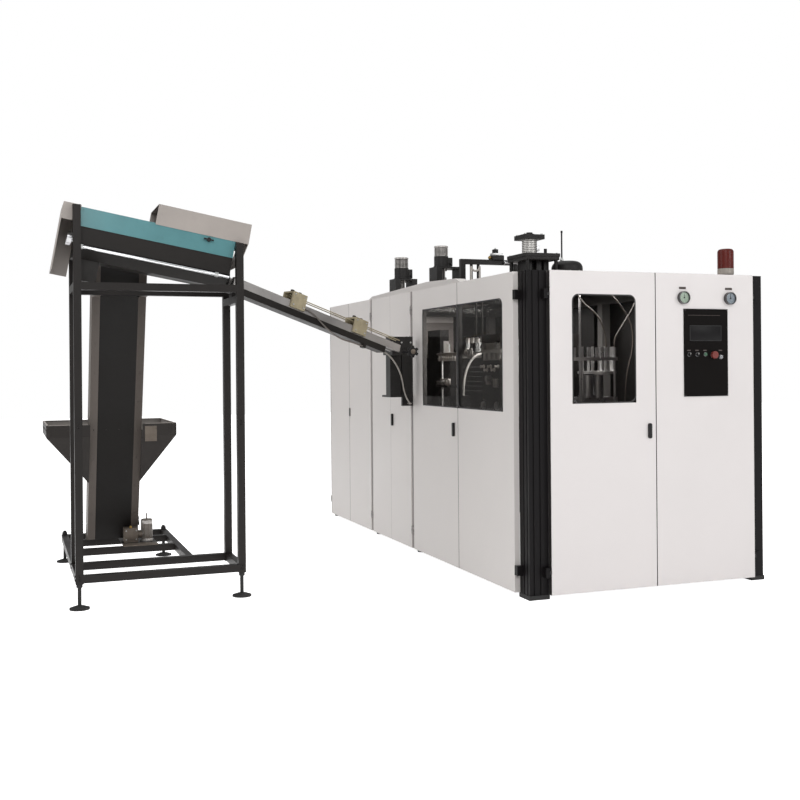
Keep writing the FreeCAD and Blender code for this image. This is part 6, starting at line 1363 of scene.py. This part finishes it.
@dataclass
class ElevatorParts:
    """Screws down the elevator's sides and the small parts of its foot drive."""

    half: float = 160
    first_screw: float = 160
    pitch: float = 230
    screws_a_side: int = 10
    motor: Point = (-2305, 2060, 226)
    fins: int = 26

    def build(self) -> None:
        """Model each group."""
        self.side_screws()
        self.drive()

    def side_screws(self) -> None:
        """Set a row of screws down each side channel."""
        tilt = math.radians(ELEVATOR_TILT)
        facing = (0, -math.cos(tilt), -math.sin(tilt))
        rows = [on_elevator(x, 0, self.first_screw + self.pitch * step) for x in (-self.half, self.half)
                for step in range(self.screws_a_side)]
        joined("elevator_screws", screws(rows, facing, 5.5, 3, BELLY_SHEET))

    def drive(self) -> None:
        """Fin, cap and flange the foot motor, and give the gearbox its cover, bolts and plug."""
        x, y, low = self.motor
        fin = block((x + 40, y - 1.2, low + 26), (x + 45.5, y + 1.2, low + 132), MOTOR_GREY, 0.4)
        fins = around(fin, (x, y, 0), UP, self.fins)
        cap = turned((x, y, low + 134), UP, [(0, 44.5), (26, 44.5), (33, 38), (35.5, 20)], MOTOR_GREY, 44,
                     1)
        flange = turned((x, y, low - 0.5), UP, [(0, 50), (12, 50), (14, 43), (22, 43)], MOTOR_GREY, 44, 1)
        cover = block((-2474, 2006.5, 240), (-2381, 2011, 326), DRIVE_GREY, 1.5)
        bolts = screws([(bx, 2006.5, bz) for bx in (-2465, -2390) for bz in (249, 317)], FRONT, 5, 3.5)
        plug = turned((-2427, 2050, 334), UP, [(0, 14), (5, 14), (6, 9), (14, 9)], BRASS, 6, 0.6)
        joined("foot_drive_parts", fins + [cap, flange])
        joined("gearbox_parts", [cover, plug] + bolts)


@dataclass
class TroughParts:
    """Screws on the teal panel and the guide rod's sleeve and collars."""

    def build(self) -> None:
        """Model each group in the trough's own frame."""
        slope = Vector(on_trough(1000, 0, 0)) - Vector(on_trough(0, 0, 0))
        spots = [on_trough(x, 0, z) for x in (18, 270, 520, 770, 1010) for z in (-18, -107)]
        panel = screws(spots, FRONT, 5, 2.5, TEAL_PAINT)
        joined("teal_panel_screws", panel)
        rod = turned(on_trough(5, -13, -259), tuple(slope), [(0, 10.6), (1024, 10.6)], CHROME, 28, 0.4)
        collars = copies(turned(on_trough(30, -13, -259), tuple(slope), [(0, 17), (24, 17)], ZINC, 28, 1),
                         [tuple(slope * 0.9)])
        joined("guide_rod_parts", [rod] + collars)


def on_chute_mm(x: float, y: float, z: float) -> Point:
    """Turn a point beside the chute into millimetres."""
    return tuple(value / MM for value in on_chute(x, y, z))


@dataclass
class ChuteParts:
    """Knobs and screws of the two arched clamps."""

    def build(self) -> None:
        """Set two knobs and four screws on each clamp, in the chute's frame."""
        up = Vector(on_chute_mm(0, 0, 100)) - Vector(on_chute_mm(0, 0, 0))
        side = Vector(on_chute_mm(0, -100, 0)) - Vector(on_chute_mm(0, 0, 0))
        knobs, heads = [], []
        for start in (340, 960):
            for along in (30, 100):
                foot = Vector(on_chute_mm(start + along, 0, 69))
                knobs.append(turned(tuple(foot), tuple(up), [(0, 8), (6, 8), (7, 14), (19, 15), (22, 12)],
                                    BLACK_NYLON, 12, 1))
            spots = [on_chute_mm(start + along, -63, z) for along in (18, 112) for z in (-28, 52)]
            heads += screws(spots, tuple(side), 6, 5)
        joined("clamp_knobs", knobs)
        joined("clamp_screws", heads)


@dataclass
class InfeedParts:
    """Bolts of the infeed unit and the star wheel's hub."""

    def build(self) -> None:
        """Set the bolts on the cap block and its front and turn the hub."""
        tops = [(x, y, 1812) for x in (-352, -190) for y in (1818, 1892)]
        bolts = screws(tops, UP, 8, 7)
        front = screws([(x, 1800, 1764) for x in (-350, -271, -192)], FRONT, 7, 5)
        joined("infeed_bolts", bolts + front)
        hub = turned((-262, 1560, 1685), FRONT, [(0, 20), (6, 20), (7, 12), (14, 11)], DRIVE_GREY, 32, 0.6)
        joined("star_hub", [hub], "star")


def area_lamp(name: str, place: Point, power: float, wide: float) -> Piece:
    """Hang a square area lamp of a power in watts and a side length in metres, facing down."""
    light = bpy.data.lights.new(name, "AREA")
    light.energy = power
    light.size = wide
    lamp = bpy.data.objects.new(name, light)
    bpy.context.collection.objects.link(lamp)
    lamp.location = place
    return lamp


@dataclass
class CabinetLamps:
    """Three lamps under the cabinet's roof that light its inside."""

    power: float = 44
    lamps: Sequence[tuple[str, Point, float, float]] = (
        ("press_lamp", (0.62, 0.45, 2.14), 1, 0.5), ("chain_lamp", (0.75, 1.55, 2.14), 1, 1.2),
        ("rear_lamp", (0.80, 3.60, 2.14), 1, 0.6))

    def build(self) -> None:
        """Hang each lamp facing down, unseen by the camera."""
        for name, place, wide, deep in self.lamps:
            lamp = area_lamp(name, place, self.power, wide)
            lamp.data.shape = "RECTANGLE"
            lamp.data.size_y = deep
            lamp.visible_camera = False
            lamp.visible_transmission = False


# ===== Floor, light and camera =====

@dataclass
class Studio:
    """The plain studio: pale floor, soft lamps, white world and the camera."""

    eye: Point = (-3.3214, -6.4078, 1.5529)
    yaw: float = -20.2945
    roll: float = -0.4585
    lens: float = 47.91
    lift: float = -0.0398
    sensor: float = 36.0
    floor_reach: float = 60.0
    lamps: Sequence[tuple[str, Point, Point, float, float]] = (
        ("key", (-3.5, -8.0, 6.0), (0.6, 0.5, 1.0), 5.0, 300.0),
        ("front", (5.5, -7.5, 5.0), (0.9, 0.0, 1.1), 5.0, 230.0),
        ("side", (-8.5, 2.0, 5.0), (-0.5, 2.0, 1.0), 5.0, 150.0),
        ("top", (0.0, 2.0, 8.0), (0.0, 2.0, 0.0), 6.0, 160.0),
        ("back", (5.0, 9.0, 6.0), (0.5, 2.5, 1.0), 5.0, 120.0))

    def build(self) -> None:
        """Make the floor, the world, the lamps and the camera."""
        self.floor()
        self.world()
        for name, place, aim, wide, power in self.lamps:
            lamp = area_lamp(name + "_softbox", place, power, wide)
            lamp.rotation_euler = (Vector(aim) - Vector(place)).to_track_quat("-Z", "Y").to_euler()
        self.camera()

    def floor(self) -> None:
        """Lay a pale floor that shows white to the camera and keeps the shadow."""
        clear_selection()
        bpy.ops.mesh.primitive_plane_add(size=self.floor_reach, location=(0.0, 0.0, 0.0))
        plane = bpy.context.object
        plane.name = "studio_floor"
        material = bpy.data.materials.new("matt_white_studio_floor")
        tree = empty_tree(material)
        place = add_node(tree, "TexCoord").outputs["Object"]
        speck = add_node(tree, "TexNoise", {"Scale": 3.0, "Detail": 4.0}, {"Vector": place})
        tone = add_node(tree, "ValToRGB", links={"Fac": speck.outputs["Fac"]},
                        stops=((0.3, linear("#f6f6f6")), (0.7, linear("#fafafa"))))
        matt = add_node(tree, "BsdfDiffuse", links={"Color": tone.outputs["Color"]})
        rays = add_node(tree, "LightPath")
        seen = add_node(tree, "Math", {"operation": "MAXIMUM"},
                        {0: rays.outputs["Is Camera Ray"], 1: rays.outputs["Is Glossy Ray"]})
        clear = add_node(tree, "Math", {"operation": "MAXIMUM"},
                         {0: seen.outputs["Value"], 1: rays.outputs["Is Transmission Ray"]})
        glow = add_node(tree, "Emission", links={"Strength": clear.outputs["Value"]})
        both = add_node(tree, "AddShader", links={0: matt.outputs["BSDF"], 1: glow.outputs["Emission"]})
        add_node(tree, "OutputMaterial", links={"Surface": both.outputs["Shader"]})
        plane.data.materials.append(material)

    def world(self) -> None:
        """Set a plain white world that lights softly and shows white behind the object."""
        world = bpy.data.worlds.new("plain_studio_world")
        bpy.context.scene.world = world
        tree = empty_tree(world)
        rays = add_node(tree, "LightPath")
        seen = add_node(tree, "Math", {"operation": "MAXIMUM"},
                        {0: rays.outputs["Is Camera Ray"], 1: rays.outputs["Is Transmission Ray"]})
        strength = add_node(tree, "MapRange", {"To Min": 0.42, "To Max": 1.0},
                            {"Value": seen.outputs["Value"]})
        glow = add_node(tree, "Background", {"Color": (1.0, 1.0, 1.0, 1.0)},
                        {"Strength": strength.outputs["Result"]})
        add_node(tree, "OutputWorld", links={"Surface": glow.outputs["Background"]})

    def camera(self) -> None:
        """Set the camera at the photograph's place, level and slightly rolled."""
        data = bpy.data.cameras.new("studio_camera")
        data.lens = self.lens
        data.sensor_width = self.sensor
        data.shift_y = self.lift
        camera = bpy.data.objects.new("studio_camera", data)
        bpy.context.collection.objects.link(camera)
        turns = ((self.yaw, "Z"), (90.0, "X"), (self.roll, "Z"))
        yaw, level, roll = (Matrix.Rotation(math.radians(angle), 4, axis) for angle, axis in turns)
        camera.matrix_world = Matrix.Translation(self.eye) @ yaw @ level @ roll
        bpy.context.scene.camera = camera


def main() -> None:
    """Build the studio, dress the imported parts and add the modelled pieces."""
    bpy.context.scene.view_settings.view_transform = "Standard"
    Studio().build()
    CabinetLamps().build()
    dress_nodes()
    hoses()
    for group in (Windows(), DoorSeal(), Console(), Levers(), Beacon(),
                  RoofMotor("near", across=125, into=1890, stand_top=2400, shoulder=60, crown=52.8, top=2577),
                  RoofMotor("far", across=140, into=2890, stand_top=2380, shoulder=66, crown=58.1, top=2580),
                  RoofGear(), OutletCurtain(), ValveRack(), Preforms(), PressParts(), HopperTrim(),
                  FeederBolts(), ElevatorParts(), TroughParts(), ChuteParts(), InfeedParts()):
        group.build()


if __name__ == "__main__":
    main()
